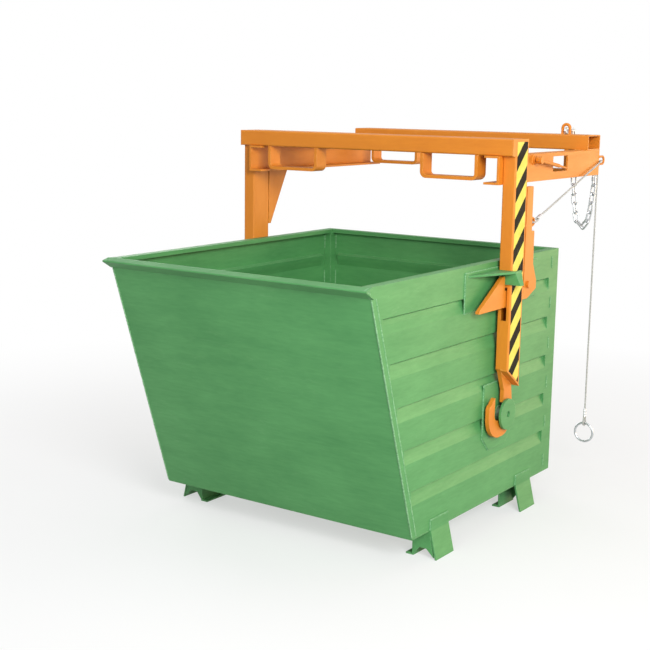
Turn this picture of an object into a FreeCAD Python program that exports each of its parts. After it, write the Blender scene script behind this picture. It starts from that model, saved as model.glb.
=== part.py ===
import FreeCAD, Part
import math
import os
import Sketcher

# A stackable tipping skip hung by its trunnions in a tipping frame for a lift truck's forks.
# Millimetres. +Z is up, the pouring side faces -Y, and X runs across the skip.
# The origin is on the floor, in the middle of the object's outer box.

Vector = FreeCAD.Vector

DIMENSIONS = {
    # tub
    "tub_width": 1100, "tub_height": 900, "front_reach": 885, "back_reach": 480, "front_run": 298,
    "sheet": 4, "lip_reach": 30, "lip_drop": 38, "lip_dip": 8, "lip_nose": 5, "lip_round": 3, "lip_land": 7,
    "lip_overhang": 10, "rim_fold": 30, "rim_return": 16,
    "trunnion_rise": 330,
    # pressed grooves in the side and back walls
    "groove_pitch": 154, "groove_first": 109, "groove_height": 52, "groove_depth": 13,
    "groove_ledge": 7, "groove_front_gap": 44, "groove_back_gap": 78, "groove_end_gap": 52,
    # corner strips and posts
    "strip_width": 24, "strip_plate": 2, "post_across": 32, "post_along": 40, "post_plate": 4,
    # feet
    "foot_height": 100, "foot_length": 123, "foot_width": 92, "foot_flare": 24, "foot_plate": 6,
    "foot_lap": 40,
    "foot_toe": 25, "foot_front_set": 117, "foot_rear_set": 180, "foot_arch": 34, "foot_arch_inset": 22,
    "foot_web_inset": 6,
    # trunnions
    "trunnion_diameter": 50, "disc_diameter": 116, "disc_plate": 10, "disc_hole": 24, "disc_gap": 7,
    "doubler_plate": 6, "doubler_width": 226, "doubler_height": 250, "doubler_rise": 120,
    "doubler_corner": 50,
    # catch pads and brackets
    "pad_plate": 5, "pad_width": 560, "pad_height": 140, "pad_drop": 22,
    "shelf_plate": 8, "shelf_drop": 30, "shelf_front": 266, "shelf_reach": 84,
    "catch_plate": 8, "catch_depth": 50, "catch_inset": 6, "catch_flare": 22, "cheek_length": 46,
    "catch_gap": 0.5, "cheek_tail": 14,
    # tipping frame
    "arm_gap": 12, "arm_width": 50, "arm_depth": 100, "arm_wall": 4, "tube_round": 6,
    "arm_end_front": 175, "arm_end_back": 105, "end_plate": 5,
    "beam_rise": 376, "beam_height": 60, "beam_depth": 120, "beam_wall": 5, "beam_lead": 73,
    "beam_spacing": 758, "cap_plate": 4,
    "link_height": 102, "link_flange": 60, "link_wall": 8, "link_lead": 8,
    "window_back": 366, "window_length": 132, "window_height": 58, "window_drop": 14,
    "strap_gap": 30, "strap_width": 238, "strap_depth": 65, "strap_plate": 12, "pocket_height": 79,
    "strap_round": 24,
    "gusset_plate": 12, "gusset_length": 128, "gusset_height": 222, "gusset_tip": 14, "gusset_lap": 60,
    # trunnion hooks
    "hook_plate": 16, "hook_radius": 82, "hook_lead": 38, "hook_trail": 18, "hook_fit": 0.3,
    "hook_throat": 9, "hook_tang": 60, "neck_front": 10, "neck_taper": 85, "slot_rise": 7,
    "prong_rise": 52, "prong_width": 44,
    # latch
    "latch_plate": 15, "latch_slot": 22, "latch_pivot_back": 30, "latch_pivot_drop": 130, "latch_pin": 20,
    "latch_top_drop": 104, "latch_bottom_drop": 164, "latch_tail": 58, "latch_tail_drop": 132,
    "latch_heel": 22, "latch_round": 5,
    "nose_gap": 3, "nose_top_drop": 50, "nose_top_width": 14, "nose_reach": 200, "nose_tip_drop": 156,
    "slot_above": 12, "slot_below": 50, "tail_slot_above": 44, "tail_slot_below": 18, "running_fit": 0.1,
    # release lever
    "lever_plate": 12, "lever_pivot_back": 124, "lever_pivot_drop": 100, "lever_pin": 16,
    "lever_top_drop": -262, "lever_front": 94, "lever_bar_back": 142, "lever_step_drop": -97,
    "lever_wide_back": 164, "lever_kink_drop": 26, "lever_low_back": 196, "lever_low_drop": 92,
    "lever_end_drop": 122,
    "finger_tip": 74, "finger_height": 20, "finger_gap": 0.6, "lever_round": 6,
    "ear_plate": 8, "ear_height": 64, "ear_gap": 2.5, "ear_margin": 18,
    "bolt_head": 26, "bolt_head_height": 9, "bolt_gap": 0.5,
    "ring_bar": 8, "ring_radius": 14, "ring_reach": 30, "ring_drop": -130,
    # release cord
    "cord_diameter": 8, "eye_bar": 9, "eye_radius": 15, "eye_reach": 60, "eye_drop": 44,
    "loop_length": 30, "loop_fit": 1, "clamp_length": 34, "clamp_diameter": 18,
    "cord_outboard": 11, "cord_lead": 12, "cord_entry": 8, "cord_over": 28, "cord_over_rise": 15,
    "cord_inboard": 13, "cord_settle": 40, "cord_lean": 3.33, "cord_drop": 1000, "pull_ring_radius": 40,
    "pull_ring_bar": 10,
    # safety chain
    "bow_bar": 12, "bow_radius": 16, "bow_height": 46, "bow_inset": 64,
    "chain_pitch": 40, "chain_bar": 8, "chain_width": 28, "chain_slack": 1.6, "chain_chamfer": 2.3,
    "chain_bend": 26, "chain_rest": 14.3, "quick_bar": 8, "quick_radius": 11.5, "quick_length": 38,
    "quick_set": 15,
    "quick_side": 16, "quick_hole": 13, "quick_sink": 6,
    # clamp screw
    "screw_back": 198, "screw_drop": 22, "screw_diameter": 20, "nut_diameter": 34, "nut_length": 12,
    "screw_inside": 56, "screw_head": 28, "screw_head_length": 22, "screw_gap": 1, "bar_diameter": 14,
    "bar_long": 172, "bar_short": 22, "bar_tip": 62, "bar_tip_diameter": 9,
    # shared by every cut
    "overrun": 2,
}
GROOVES = 5
CHAIN_LINKS = 18
BAR_TILT_DEGREES = -9
GROOVE_BELLY_SHARE = 0.72
GROOVE_FOOT_SHARE = 0.45
ARM_ROUND_SHARE = 0.8
LIP_FOLD_SHARE = 0.75
CORD_ARC_SHARE = 0.45

doc = FreeCAD.newDocument("skip_and_tipping_frame")
sheet = doc.addObject("Spreadsheet::Sheet", "dims")
for row, (alias, size) in enumerate(DIMENSIONS.items(), start=1):
    sheet.set(f"A{row}", alias)
    sheet.set(f"B{row}", str(size))
    sheet.setAlias(f"B{row}", alias)
doc.recompute()


class Size:
    """A length worked out from the sheet: its expression, and its value now."""

    def __init__(self, text, value):
        self.text = text
        self.value = value

    def __add__(self, other):
        return Size(f"({self.text} + {text_of(other)})", self.value + value_of(other))

    def __radd__(self, other):
        return Size(f"({text_of(other)} + {self.text})", value_of(other) + self.value)

    def __sub__(self, other):
        return Size(f"({self.text} - {text_of(other)})", self.value - value_of(other))

    def __rsub__(self, other):
        return Size(f"({text_of(other)} - {self.text})", value_of(other) - self.value)

    def __mul__(self, other):
        return Size(f"({self.text} * {text_of(other)})", self.value * value_of(other))

    def __rmul__(self, other):
        return self * other

    def __truediv__(self, other):
        return Size(f"({self.text} / {text_of(other)})", self.value / value_of(other))

    def __neg__(self):
        return Size(f"(-{self.text})", -self.value)


def text_of(size):
    return size.text if isinstance(size, Size) else repr(size)


def value_of(size):
    return size.value if isinstance(size, Size) else size


class Sheet:
    """The sheet's cells as sizes: d.tub_width and so on."""

    def __getattr__(self, alias):
        return Size(f"dims.{alias}", float(sheet.get(alias)))


d = Sheet()


def bind(item, path, size):
    if isinstance(size, Size):
        item.setExpression(path, size.text)


# Sketches, and the steps that build a piece

PLANES = {"XY": "XY_Plane", "XZ": "XZ_Plane", "YZ": "YZ_Plane"}


class Circle:
    def __init__(self, across, up, radius):
        self.across = across
        self.up = up
        self.radius = radius


class Step:
    """An outline on a plane, made solid from start over length along the plane's axis, added or cut."""

    def __init__(self, kind, plane, start, length, *loops):
        self.kind = kind
        self.plane = plane
        self.start = start
        self.length = length
        self.loops = loops

    def mirrored(self):
        if self.plane == "YZ":
            return Step(self.kind, self.plane, -(self.start + self.length), self.length, *self.loops)
        return Step(self.kind, self.plane, self.start, self.length, *[flipped(loop) for loop in self.loops])


def flipped(loop):
    if isinstance(loop, Circle):
        return Circle(-loop.across, loop.up, loop.radius)
    return [(-across if isinstance(across, Size) else 0, up) for across, up in loop]


def add(plane, start, length, *loops):
    return Step("PartDesign::Pad", plane, start, length, *loops)


def cut(plane, start, length, *loops):
    return Step("PartDesign::Pocket", plane, start, length, *loops)


def box(left, right, low, high):
    return [(left, low), (right, low), (right, high), (left, high)]


def place_point(sketch, geometry, point, across, up, tag):
    for axis, size in (("X", across), ("Y", up)):
        index = sketch.addConstraint(
            Sketcher.Constraint(f"Distance{axis}", -1, 1, geometry, point, float(value_of(size)))
        )
        sketch.renameConstraint(index, f"{tag}{axis}")
        bind(sketch, f"Constraints.{tag}{axis}", size)


def draw_circle(sketch, circle, tag):
    middle = Vector(value_of(circle.across), value_of(circle.up), 0)
    index = sketch.addGeometry(Part.Circle(middle, Vector(0, 0, 1), value_of(circle.radius)), False)
    place_point(sketch, index, 3, circle.across, circle.up, tag)
    radius = sketch.addConstraint(Sketcher.Constraint("Radius", index, value_of(circle.radius)))
    sketch.renameConstraint(radius, f"{tag}R")
    bind(sketch, f"Constraints.{tag}R", circle.radius)


def draw_outline(sketch, corners, tag):
    spots = [Vector(value_of(across), value_of(up), 0) for across, up in corners]
    first = sketch.GeometryCount
    count = len(spots)
    for number, spot in enumerate(spots):
        sketch.addGeometry(Part.LineSegment(spot, spots[(number + 1) % count]), False)
    for number in range(count):
        following = first + (number + 1) % count
        sketch.addConstraint(Sketcher.Constraint("Coincident", first + number, 2, following, 1))
    for number, (across, up) in enumerate(corners):
        place_point(sketch, first + number, 1, across, up, f"{tag}p{number}")


def build_step(body, step, number):
    sketch = body.newObject("Sketcher::SketchObject", f"{body.Name}_outline{number}")
    role = PLANES[step.plane]
    plane = next(item for item in body.Origin.OriginFeatures if item.Role == role)
    sketch.AttachmentSupport = [(plane, "")]
    sketch.MapMode = "FlatFace"
    # the XZ plane faces -Y, so it is lifted and padded the other way
    backwards = step.plane == "XZ"
    lift = -step.start if backwards else step.start
    sketch.AttachmentOffset = FreeCAD.Placement(Vector(0, 0, value_of(lift)), FreeCAD.Rotation())
    bind(sketch, "AttachmentOffset.Base.z", lift)
    for order, loop in enumerate(step.loops):
        tag = f"loop{order}"
        if isinstance(loop, Circle):
            draw_circle(sketch, loop, tag)
        else:
            draw_outline(sketch, loop, tag)
    feature = body.newObject(step.kind, f"{body.Name}_step{number}")
    feature.Profile = sketch
    feature.Length = value_of(step.length)
    bind(feature, "Length", step.length)
    feature.Reversed = backwards if step.kind == "PartDesign::Pad" else not backwards
    body.Tip = feature
    return feature


pieces = []


def keep(item, name):
    item.Label = name
    pieces.append(item)
    return item


def make_body(name, *steps):
    body = doc.addObject("PartDesign::Body", name)
    for number, step in enumerate(steps):
        build_step(body, step, number)
    return body


def make(name, *steps):
    return keep(make_body(name, *steps), name)


def pair(name, *steps):
    """A piece on the right, and its mirror image on the left."""
    right = make(f"right_{name}", *steps)
    left = make(f"left_{name}", *[step.mirrored() for step in steps])
    return right, left


def round_edges(body, radius, chosen):
    """Rounds the edges of a body whose middle point chosen accepts."""
    doc.recompute()
    edges = []
    for number, edge in enumerate(body.Tip.Shape.Edges, start=1):
        middle = edge.valueAt((edge.FirstParameter + edge.LastParameter) / 2)
        if chosen(edge, middle):
            edges.append(f"Edge{number}")
    base = body.Tip
    fillet = body.newObject("PartDesign::Fillet", f"{body.Name}_round{len(body.Group)}")
    fillet.Base = (base, edges)
    fillet.Radius = value_of(radius)
    bind(fillet, "Radius", radius)
    body.Tip = fillet


def runs_along(edge, axis):
    ends = edge.Vertexes[-1].Point - edge.Vertexes[0].Point
    return len(edge.Vertexes) == 2 and abs(ends.getAngle(axis) % math.pi) < 1e-6


def near(value, size):
    return abs(value - value_of(size)) < 1e-6


# Shared places

half_tub = d.tub_width / 2
rear_total = d.beam_spacing - d.beam_lead + d.beam_depth + d.eye_reach
axis_y = (d.front_reach + d.lip_reach - rear_total) / 2
tub_floor = d.foot_height
rim = tub_floor + d.tub_height
axis_z = tub_floor + d.trunnion_rise
front_top = axis_y - d.front_reach
front_foot = front_top + d.front_run
tub_back = axis_y + d.back_reach
wall_foot = tub_floor + d.sheet
arm_in = half_tub + d.arm_gap
arm_out = arm_in + d.arm_width
arm_front = axis_y - d.arm_depth / 2
arm_back = axis_y + d.arm_depth / 2
beam_low = rim + d.beam_rise
beam_top = beam_low + d.beam_height
front_beam_front = axis_y - d.beam_lead
rear_beam_front = front_beam_front + d.beam_spacing
rear_beam_back = rear_beam_front + d.beam_depth
link_low = beam_low - d.link_height
front_lean = d.front_run / d.tub_height


def front_at(height):
    """Y of the front wall's outer face at a height."""
    return front_top + (rim - height) * front_lean


# Tub

make("floor_sheet", add("XY", tub_floor, d.sheet, box(-half_tub, half_tub, front_foot, tub_back)))

front_level = d.sheet * ((front_lean * front_lean + 1.0).value ** 0.5)
wall_inside = half_tub - d.sheet
lip_tip = front_top - d.lip_reach
lip_high = rim - d.lip_dip
lip_low = rim - d.lip_drop
front_wall = make(
    "front_wall",
    add(
        "YZ", -wall_inside, wall_inside * 2,
        [
            (front_at(wall_foot), wall_foot), (front_at(wall_foot) + front_level, wall_foot),
            (front_at(rim) + front_level, rim), (front_at(rim), rim),
        ],
    ),
    add(
        "YZ", -(half_tub + d.lip_overhang), (half_tub + d.lip_overhang) * 2,
        [
            (front_top, rim), (lip_tip, lip_high), (lip_tip, lip_high - d.lip_nose),
            (front_at(lip_low), lip_low), (front_at(lip_low + d.lip_land), lip_low + d.lip_land),
            (lip_tip + d.sheet, lip_high - d.sheet * LIP_FOLD_SHARE),
            (front_at(rim - d.sheet), rim - d.sheet),
        ],
    ),
)
round_edges(
    front_wall, d.lip_round,
    lambda edge, middle: runs_along(edge, Vector(1, 0, 0)) and near(middle.y, lip_tip),
)


def groove_section(face, inward, top):
    """A pressed groove's outer outline across the wall: a sharp ledge above, running out below."""
    deep = inward * d.groove_depth
    return [
        (face, top), (face + deep, top - d.groove_ledge),
        (face + deep * GROOVE_BELLY_SHARE, top - d.groove_height * GROOVE_FOOT_SHARE),
        (face, top - d.groove_height),
    ]


def groove_steps(plane, face, inward, start, length, top):
    """Sheet pressed inward: the bulge is added on the inside, then the groove is cut on the outside."""
    outside = groove_section(face, inward, top)
    inner_face = face + inward * d.sheet
    inside = groove_section(inner_face, inward, top + d.sheet / 2)
    return [
        add(plane, start - d.sheet, length + d.sheet * 2, inside),
        cut(plane, start, length, outside),
    ]


groove_tops = [rim - d.groove_first - d.groove_pitch * number for number in range(GROOVES)]

rim_start = front_at(rim - d.rim_return) + front_level
side_steps = [
    add(
        "YZ", half_tub - d.sheet, d.sheet,
        [(front_at(wall_foot), wall_foot), (tub_back, wall_foot), (tub_back, rim), (front_top, rim)],
    ),
    add(
        "XZ", rim_start, tub_back - d.sheet - rim_start,
        [
            (wall_inside, rim), (wall_inside - d.rim_fold, rim),
            (wall_inside - d.rim_fold, rim - d.rim_return),
            (wall_inside - d.rim_fold + d.sheet, rim - d.rim_return),
            (wall_inside - d.rim_fold + d.sheet, rim - d.sheet),
            (wall_inside, rim - d.sheet),
        ],
    ),
]
for top in groove_tops:
    groove_start = front_at(top) + d.groove_front_gap
    groove_length = tub_back - d.groove_back_gap - groove_start
    side_steps += groove_steps("XZ", half_tub, -1, groove_start, groove_length, top)
pair("side_wall", *side_steps)

back_fold = wall_inside - d.rim_fold
back_steps = [
    add("YZ", -wall_inside, wall_inside * 2, box(tub_back - d.sheet, tub_back, wall_foot, rim)),
    add(
        "YZ", -back_fold, back_fold * 2,
        [
            (tub_back, rim), (tub_back - d.rim_fold, rim), (tub_back - d.rim_fold, rim - d.rim_return),
            (tub_back - d.rim_fold + d.sheet, rim - d.rim_return),
            (tub_back - d.rim_fold + d.sheet, rim - d.sheet),
            (tub_back, rim - d.sheet),
        ],
    ),
]
for top in groove_tops:
    groove_half = wall_inside - d.groove_end_gap
    back_steps += groove_steps("YZ", tub_back, -1, -groove_half, groove_half * 2, top)
make("back_wall", *back_steps)

# Narrow strips that lap the front corners, and folded posts inside the rear corners
pair(
    "corner_strip",
    add(
        "YZ", half_tub, d.strip_plate,
        [
            (front_at(wall_foot), wall_foot), (front_at(wall_foot) + d.strip_width, wall_foot),
            (front_at(lip_low) + d.strip_width, lip_low), (front_at(lip_low), lip_low),
        ],
    ),
)
post_back = tub_back - d.sheet
post_front = post_back - d.post_along
post_side = wall_inside - d.post_across
pair(
    "corner_post",
    add(
        "XY", wall_foot, rim - d.rim_return - wall_foot,
        [
            (wall_inside, post_front), (post_side, post_front), (post_side, post_back),
            (post_side + d.post_plate, post_back), (post_side + d.post_plate, post_front + d.post_plate),
            (wall_inside, post_front + d.post_plate),
        ],
    ),
)

# Feet: a front web with an arched foot, an inner plate with a toe, a flared outer plate lapping the wall


def foot_steps(start, web_start):
    outer = half_tub
    flare = outer + d.foot_flare
    inner = outer - d.foot_width + d.foot_flare
    plate = d.foot_plate
    arch_low = inner + plate + d.foot_arch_inset
    arch_high = outer - d.foot_arch_inset / 2
    return [
        add(
            "XZ", start, d.foot_length,
            [
                (outer, tub_floor + d.foot_lap), (outer + plate, tub_floor + d.foot_lap),
                (outer + plate, tub_floor),
                (flare + plate, 0), (flare, 0), (outer, tub_floor - plate),
            ],
        ),
        add(
            "XZ", start, d.foot_length,
            [
                (inner, tub_floor), (inner, plate), (inner - d.foot_toe, plate), (inner - d.foot_toe, 0),
                (inner + plate, 0), (inner + plate, tub_floor),
            ],
        ),
        add(
            "XZ", web_start, plate,
            [
                (inner + plate, tub_floor), (inner + plate, plate), (arch_low, d.foot_arch),
                (arch_high, d.foot_arch),
                (flare - d.foot_web_inset, plate), (outer, tub_floor - plate), (outer, tub_floor),
            ],
        ),
    ]


front_foot_start = front_foot + d.foot_front_set
pair("front_foot", *foot_steps(front_foot_start, front_foot_start))
rear_foot_start = tub_back - d.foot_rear_set - d.foot_length
pair("rear_foot", *foot_steps(rear_foot_start, rear_foot_start + d.foot_length - d.foot_plate))

# Trunnions: doubler plate on the wall, pin, and retaining disc outside the hook
doubler_half = d.doubler_width / 2
doubler_top = axis_z + d.doubler_rise
doubler_low = doubler_top - d.doubler_height
pair(
    "trunnion_doubler",
    add(
        "YZ", half_tub, d.doubler_plate,
        [
            (axis_y - doubler_half, doubler_low + d.doubler_corner),
            (axis_y - doubler_half + d.doubler_corner, doubler_low),
            (axis_y + doubler_half - d.doubler_corner, doubler_low),
            (axis_y + doubler_half, doubler_low + d.doubler_corner),
            (axis_y + doubler_half, doubler_top), (axis_y - doubler_half, doubler_top),
        ],
    ),
)
hook_in = arm_in + d.arm_wall
hook_out = hook_in + d.hook_plate
pin_start = half_tub + d.doubler_plate
disc_start = hook_out + d.disc_gap
pin_round = Circle(axis_y, axis_z, d.trunnion_diameter / 2)
pair("trunnion_pin", add("YZ", pin_start, disc_start - pin_start, pin_round))
pair(
    "trunnion_disc",
    add(
        "YZ", disc_start, d.disc_plate,
        Circle(axis_y, axis_z, d.disc_diameter / 2), Circle(axis_y, axis_z, d.disc_hole / 2),
    ),
)

# Catch pads and brackets in front of the arms
pad_top = rim - d.pad_drop
pair(
    "catch_pad",
    add(
        "YZ", half_tub, d.pad_plate,
        box(axis_y - d.pad_width / 2, axis_y + d.pad_width / 2, pad_top - d.pad_height, pad_top),
    ),
)
shelf_top = rim - d.shelf_drop
shelf_low = shelf_top - d.shelf_plate
pad_face = half_tub + d.pad_plate
shelf_out = half_tub + d.shelf_reach
catch_back = arm_front - d.catch_gap
catch_front = catch_back - d.catch_plate
catch_low = shelf_top - d.catch_depth
cheek_out = shelf_out + d.catch_flare
pair(
    "catch_bracket",
    add(
        "XY", shelf_low, d.shelf_plate,
        [
            (pad_face, axis_y - d.shelf_front), (shelf_out, catch_front),
            (shelf_out, catch_front + d.cheek_length),
            (shelf_out - d.catch_plate, catch_front + d.cheek_length),
            (shelf_out - d.catch_plate, catch_back),
            (pad_face, catch_back),
        ],
    ),
    add(
        "XZ", catch_front, d.catch_plate,
        [
            (arm_in + d.catch_inset, shelf_low), (arm_in + d.catch_inset, catch_low),
            (cheek_out, catch_low),
            (shelf_out, shelf_low),
        ],
    ),
    add(
        "XZ", catch_front, d.cheek_length,
        [
            (shelf_out - d.catch_plate, shelf_low), (shelf_out, shelf_low), (cheek_out, catch_low),
            (cheek_out - d.catch_plate, catch_low),
        ],
    ),
    cut(
        "YZ", arm_out, cheek_out - arm_out + d.overrun,
        [
            (catch_back + d.cheek_tail, catch_low - d.overrun),
            (catch_front + d.cheek_length + d.overrun, catch_low - d.overrun),
            (catch_front + d.cheek_length + d.overrun, shelf_low),
        ],
    ),
)

# Tipping frame: beams, links, arms


def tube(low_a, high_a, low_b, high_b, wall):
    return box(low_a, high_a, low_b, high_b), box(low_a + wall, high_a - wall, low_b + wall, high_b - wall)


beam_half = arm_out - d.cap_plate


def beam(name, front, half_length):
    outer, inner = tube(front, front + d.beam_depth, beam_low, beam_top, d.beam_wall)
    body = make(name, add("YZ", -half_length, half_length * 2, outer, inner))
    round_edges(
        body, d.tube_round,
        lambda edge, middle: runs_along(edge, Vector(1, 0, 0))
        and (near(middle.y, front) or near(middle.y, front + d.beam_depth)),
    )


beam("front_beam", front_beam_front, beam_half)
beam("rear_beam", rear_beam_front, arm_in)
pair(
    "beam_cap",
    add(
        "YZ", beam_half, d.cap_plate,
        box(front_beam_front, front_beam_front + d.beam_depth, beam_low, beam_top),
    ),
)

link_front = front_beam_front - d.link_lead
link_section = [
    (arm_in, link_low), (arm_in, beam_low), (arm_in - d.link_flange, beam_low),
    (arm_in - d.link_flange, beam_low - d.link_wall), (arm_in - d.link_wall, beam_low - d.link_wall),
    (arm_in - d.link_wall, link_low + d.link_wall), (arm_in - d.link_flange, link_low + d.link_wall),
    (arm_in - d.link_flange, link_low),
]
screw_y = axis_y + d.screw_back
screw_z = beam_low - d.screw_drop
window_start = axis_y + d.window_back
window_top = beam_low - d.window_drop
link = add("XZ", link_front, rear_beam_back - link_front, link_section)
web_start = arm_in - d.link_wall - d.overrun
web_cut = d.link_wall + d.overrun * 2
screw_hole = d.screw_diameter / 2 + d.running_fit
quick_x = arm_in - d.quick_side
make(
    "right_link_channel", link,
    cut(
        "YZ", web_start, web_cut,
        box(window_start, window_start + d.window_length, window_top - d.window_height, window_top),
    ),
    cut("YZ", web_start, web_cut, Circle(screw_y, screw_z, screw_hole)),
    cut(
        "XY", link_low - d.overrun, d.link_wall + d.overrun * 2,
        Circle(quick_x, rear_beam_back - d.quick_set, d.quick_hole / 2),
    ),
)
make("left_link_channel", link.mirrored())

arm_end_front = axis_z + d.arm_end_front
arm_end_back = axis_z + d.arm_end_back
arm_outer, arm_inner = tube(arm_in, arm_out, arm_front, arm_back, d.arm_wall)
arm_steps = [
    add("XY", arm_end_back, beam_low - arm_end_back, arm_outer, arm_inner),
    cut(
        "YZ", arm_in - d.overrun, d.arm_width + d.overrun * 2,
        [
            (arm_front - d.overrun, arm_end_back - d.overrun), (arm_back, arm_end_back - d.overrun),
            (arm_back, arm_end_back), (arm_front, arm_end_front), (arm_front - d.overrun, arm_end_front),
        ],
    ),
]

# The right arm is slotted front and back for the latch and drilled for its pin
arm_middle = arm_in + d.arm_width / 2
latch_y = axis_y + d.latch_pivot_back
latch_z = rim - d.latch_pivot_drop
latch_top = rim - d.latch_top_drop
latch_low = rim - d.latch_bottom_drop
tail_low = rim - d.latch_tail_drop
slot_left = arm_middle - d.latch_slot / 2
slot_right = arm_middle + d.latch_slot / 2
nose_slot = box(slot_left, slot_right, latch_low - d.slot_below, latch_top + d.slot_above)
tail_slot = box(slot_left, slot_right, tail_low - d.tail_slot_below, latch_top + d.tail_slot_above)
latch_steps = [
    cut("XZ", arm_front - d.overrun, d.arm_wall + d.overrun * 2, nose_slot),
    cut("XZ", arm_back - d.arm_wall - d.overrun, d.arm_wall + d.overrun * 2, tail_slot),
    cut("YZ", arm_in - d.overrun, d.arm_width + d.overrun * 2, Circle(latch_y, latch_z, d.latch_pin / 2)),
]


def arm(name, *steps):
    body = make(name, *steps[:2])
    round_edges(
        body, d.tube_round * ARM_ROUND_SHARE,
        lambda edge, middle: runs_along(edge, Vector(0, 0, 1))
        and (near(middle.y, arm_front) or near(middle.y, arm_back))
        and (near(abs(middle.x), arm_in) or near(abs(middle.x), arm_out)),
    )
    for number, step in enumerate(steps[2:], start=2):
        build_step(body, step, number)


arm("right_arm_tube", *arm_steps, *latch_steps)
arm("left_arm_tube", *[step.mirrored() for step in arm_steps])

pair(
    "arm_end_plate",
    add(
        "YZ", hook_out, arm_out - hook_out,
        [
            (arm_front, arm_end_front), (arm_back, arm_end_back), (arm_back, arm_end_back - d.end_plate),
            (arm_front, arm_end_front - d.end_plate),
        ],
    ),
)

# Hooks: a tang inside the arm, a round bowl with the pin's seat at its back, and a prong in front
seat = d.trunnion_diameter / 2 + d.hook_fit
throat_top = axis_z + seat + d.hook_throat
tang_half = d.arm_depth / 2 - d.arm_wall - d.running_fit
tang_top = arm_end_front + d.hook_tang
bowl_front = axis_y - d.hook_lead
bowl_back = axis_y - d.hook_trail
bowl_low = axis_z - d.hook_radius
neck_front = axis_y - d.neck_front
prong_front = bowl_front - d.hook_radius
prong_back = prong_front + d.prong_width
prong_mid = prong_front + d.prong_width / 2
prong_shoulder = axis_z + d.prong_rise - d.prong_width / 2
slot_front = prong_back + seat
slot_up = axis_z + d.slot_rise


def through_hook(outline):
    return cut("YZ", hook_in - d.overrun, d.hook_plate + d.overrun * 2, outline)


pair(
    "trunnion_hook",
    add("YZ", hook_in, d.hook_plate, Circle(bowl_front, axis_z, d.hook_radius)),
    add("YZ", hook_in, d.hook_plate, Circle(bowl_back, axis_z, d.hook_radius)),
    add("YZ", hook_in, d.hook_plate, box(bowl_front, bowl_back, bowl_low, axis_z)),
    add("YZ", hook_in, d.hook_plate, box(prong_front, prong_back, axis_z, prong_shoulder)),
    add("YZ", hook_in, d.hook_plate, Circle(prong_mid, prong_shoulder, d.prong_width / 2)),
    add(
        "YZ", hook_in, d.hook_plate,
        [
            (neck_front, axis_z), (neck_front, arm_end_front - d.neck_taper),
            (axis_y - tang_half, arm_end_front), (axis_y - tang_half, tang_top),
            (axis_y + tang_half, tang_top), (axis_y + tang_half, arm_end_back),
            (bowl_back + d.hook_radius, axis_z),
        ],
    ),
    through_hook(
        [
            (axis_y + seat, axis_z), (axis_y + seat, throat_top), (neck_front, throat_top + d.hook_throat),
            (neck_front, axis_z + d.hook_radius + d.overrun),
            (prong_back, axis_z + d.hook_radius + d.overrun), (prong_back, slot_up),
            (slot_front, slot_up - seat), (axis_y, axis_z - seat),
        ],
    ),
    through_hook(Circle(slot_front, slot_up, seat)),
    through_hook(Circle(axis_y, axis_z, seat)),
)

make(
    "left_arm_gusset",
    add(
        "YZ", -(arm_in + d.gusset_plate), d.gusset_plate,
        [
            (arm_back, link_low + d.gusset_lap), (arm_back + d.gusset_length, link_low + d.gusset_lap),
            (arm_back + d.gusset_length, link_low), (arm_back + d.gusset_tip, link_low - d.gusset_height),
            (arm_back, link_low - d.gusset_height),
        ],
    ),
)

# Fork straps: flat bar bent to a U under each beam, one pair for each fork
strap_out = arm_in - d.link_flange - d.strap_gap
strap_in = strap_out - d.strap_width
pocket_low = beam_low - d.pocket_height
strap_low = pocket_low - d.strap_plate


def strap_pair(name, front):
    bodies = pair(
        name,
        add(
            "XZ", front, d.strap_depth,
            [
                (strap_in, beam_low), (strap_in, strap_low), (strap_out, strap_low), (strap_out, beam_low),
                (strap_out - d.strap_plate, beam_low), (strap_out - d.strap_plate, pocket_low),
                (strap_in + d.strap_plate, pocket_low), (strap_in + d.strap_plate, beam_low),
            ],
        ),
    )
    for body in bodies:
        along = Vector(0, 1, 0)
        round_edges(
            body, d.strap_round,
            lambda edge, middle: runs_along(edge, along) and near(middle.z, strap_low),
        )
        round_edges(
            body, d.strap_round - d.strap_plate,
            lambda edge, middle: runs_along(edge, along) and near(middle.z, pocket_low),
        )


strap_pair("front_fork_strap", front_beam_front)
strap_pair("rear_fork_strap", rear_beam_front)

# Latch: a hooked plate that turns on a pin across the right arm
latch_start = arm_middle - d.latch_plate / 2
nose_back = catch_front - d.nose_gap
nose_top = rim - d.nose_top_drop
nose_tip = arm_front - d.nose_reach
tip_top = rim - d.nose_tip_drop
tail_end = latch_y + d.latch_tail
latch = make(
    "latch_hook",
    add(
        "YZ", latch_start, d.latch_plate,
        [
            (nose_back, latch_top), (nose_back, nose_top), (nose_back - d.nose_top_width, nose_top),
            (nose_tip, tip_top),
            (nose_tip, latch_low), (latch_y - d.latch_heel, latch_low), (arm_back, tail_low),
            (tail_end, tail_low),
            (tail_end, latch_top),
        ],
        Circle(latch_y, latch_z, d.latch_pin / 2 + d.running_fit),
    ),
)
round_edges(
    latch, d.latch_round,
    lambda edge, middle: runs_along(edge, Vector(1, 0, 0))
    and (near(middle.z, nose_top) or near(middle.y, tail_end) or near(middle.y, latch_y - d.latch_heel)),
)
make("latch_pin", add("YZ", arm_in, d.arm_width, Circle(latch_y, latch_z, d.latch_pin / 2)))

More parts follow.
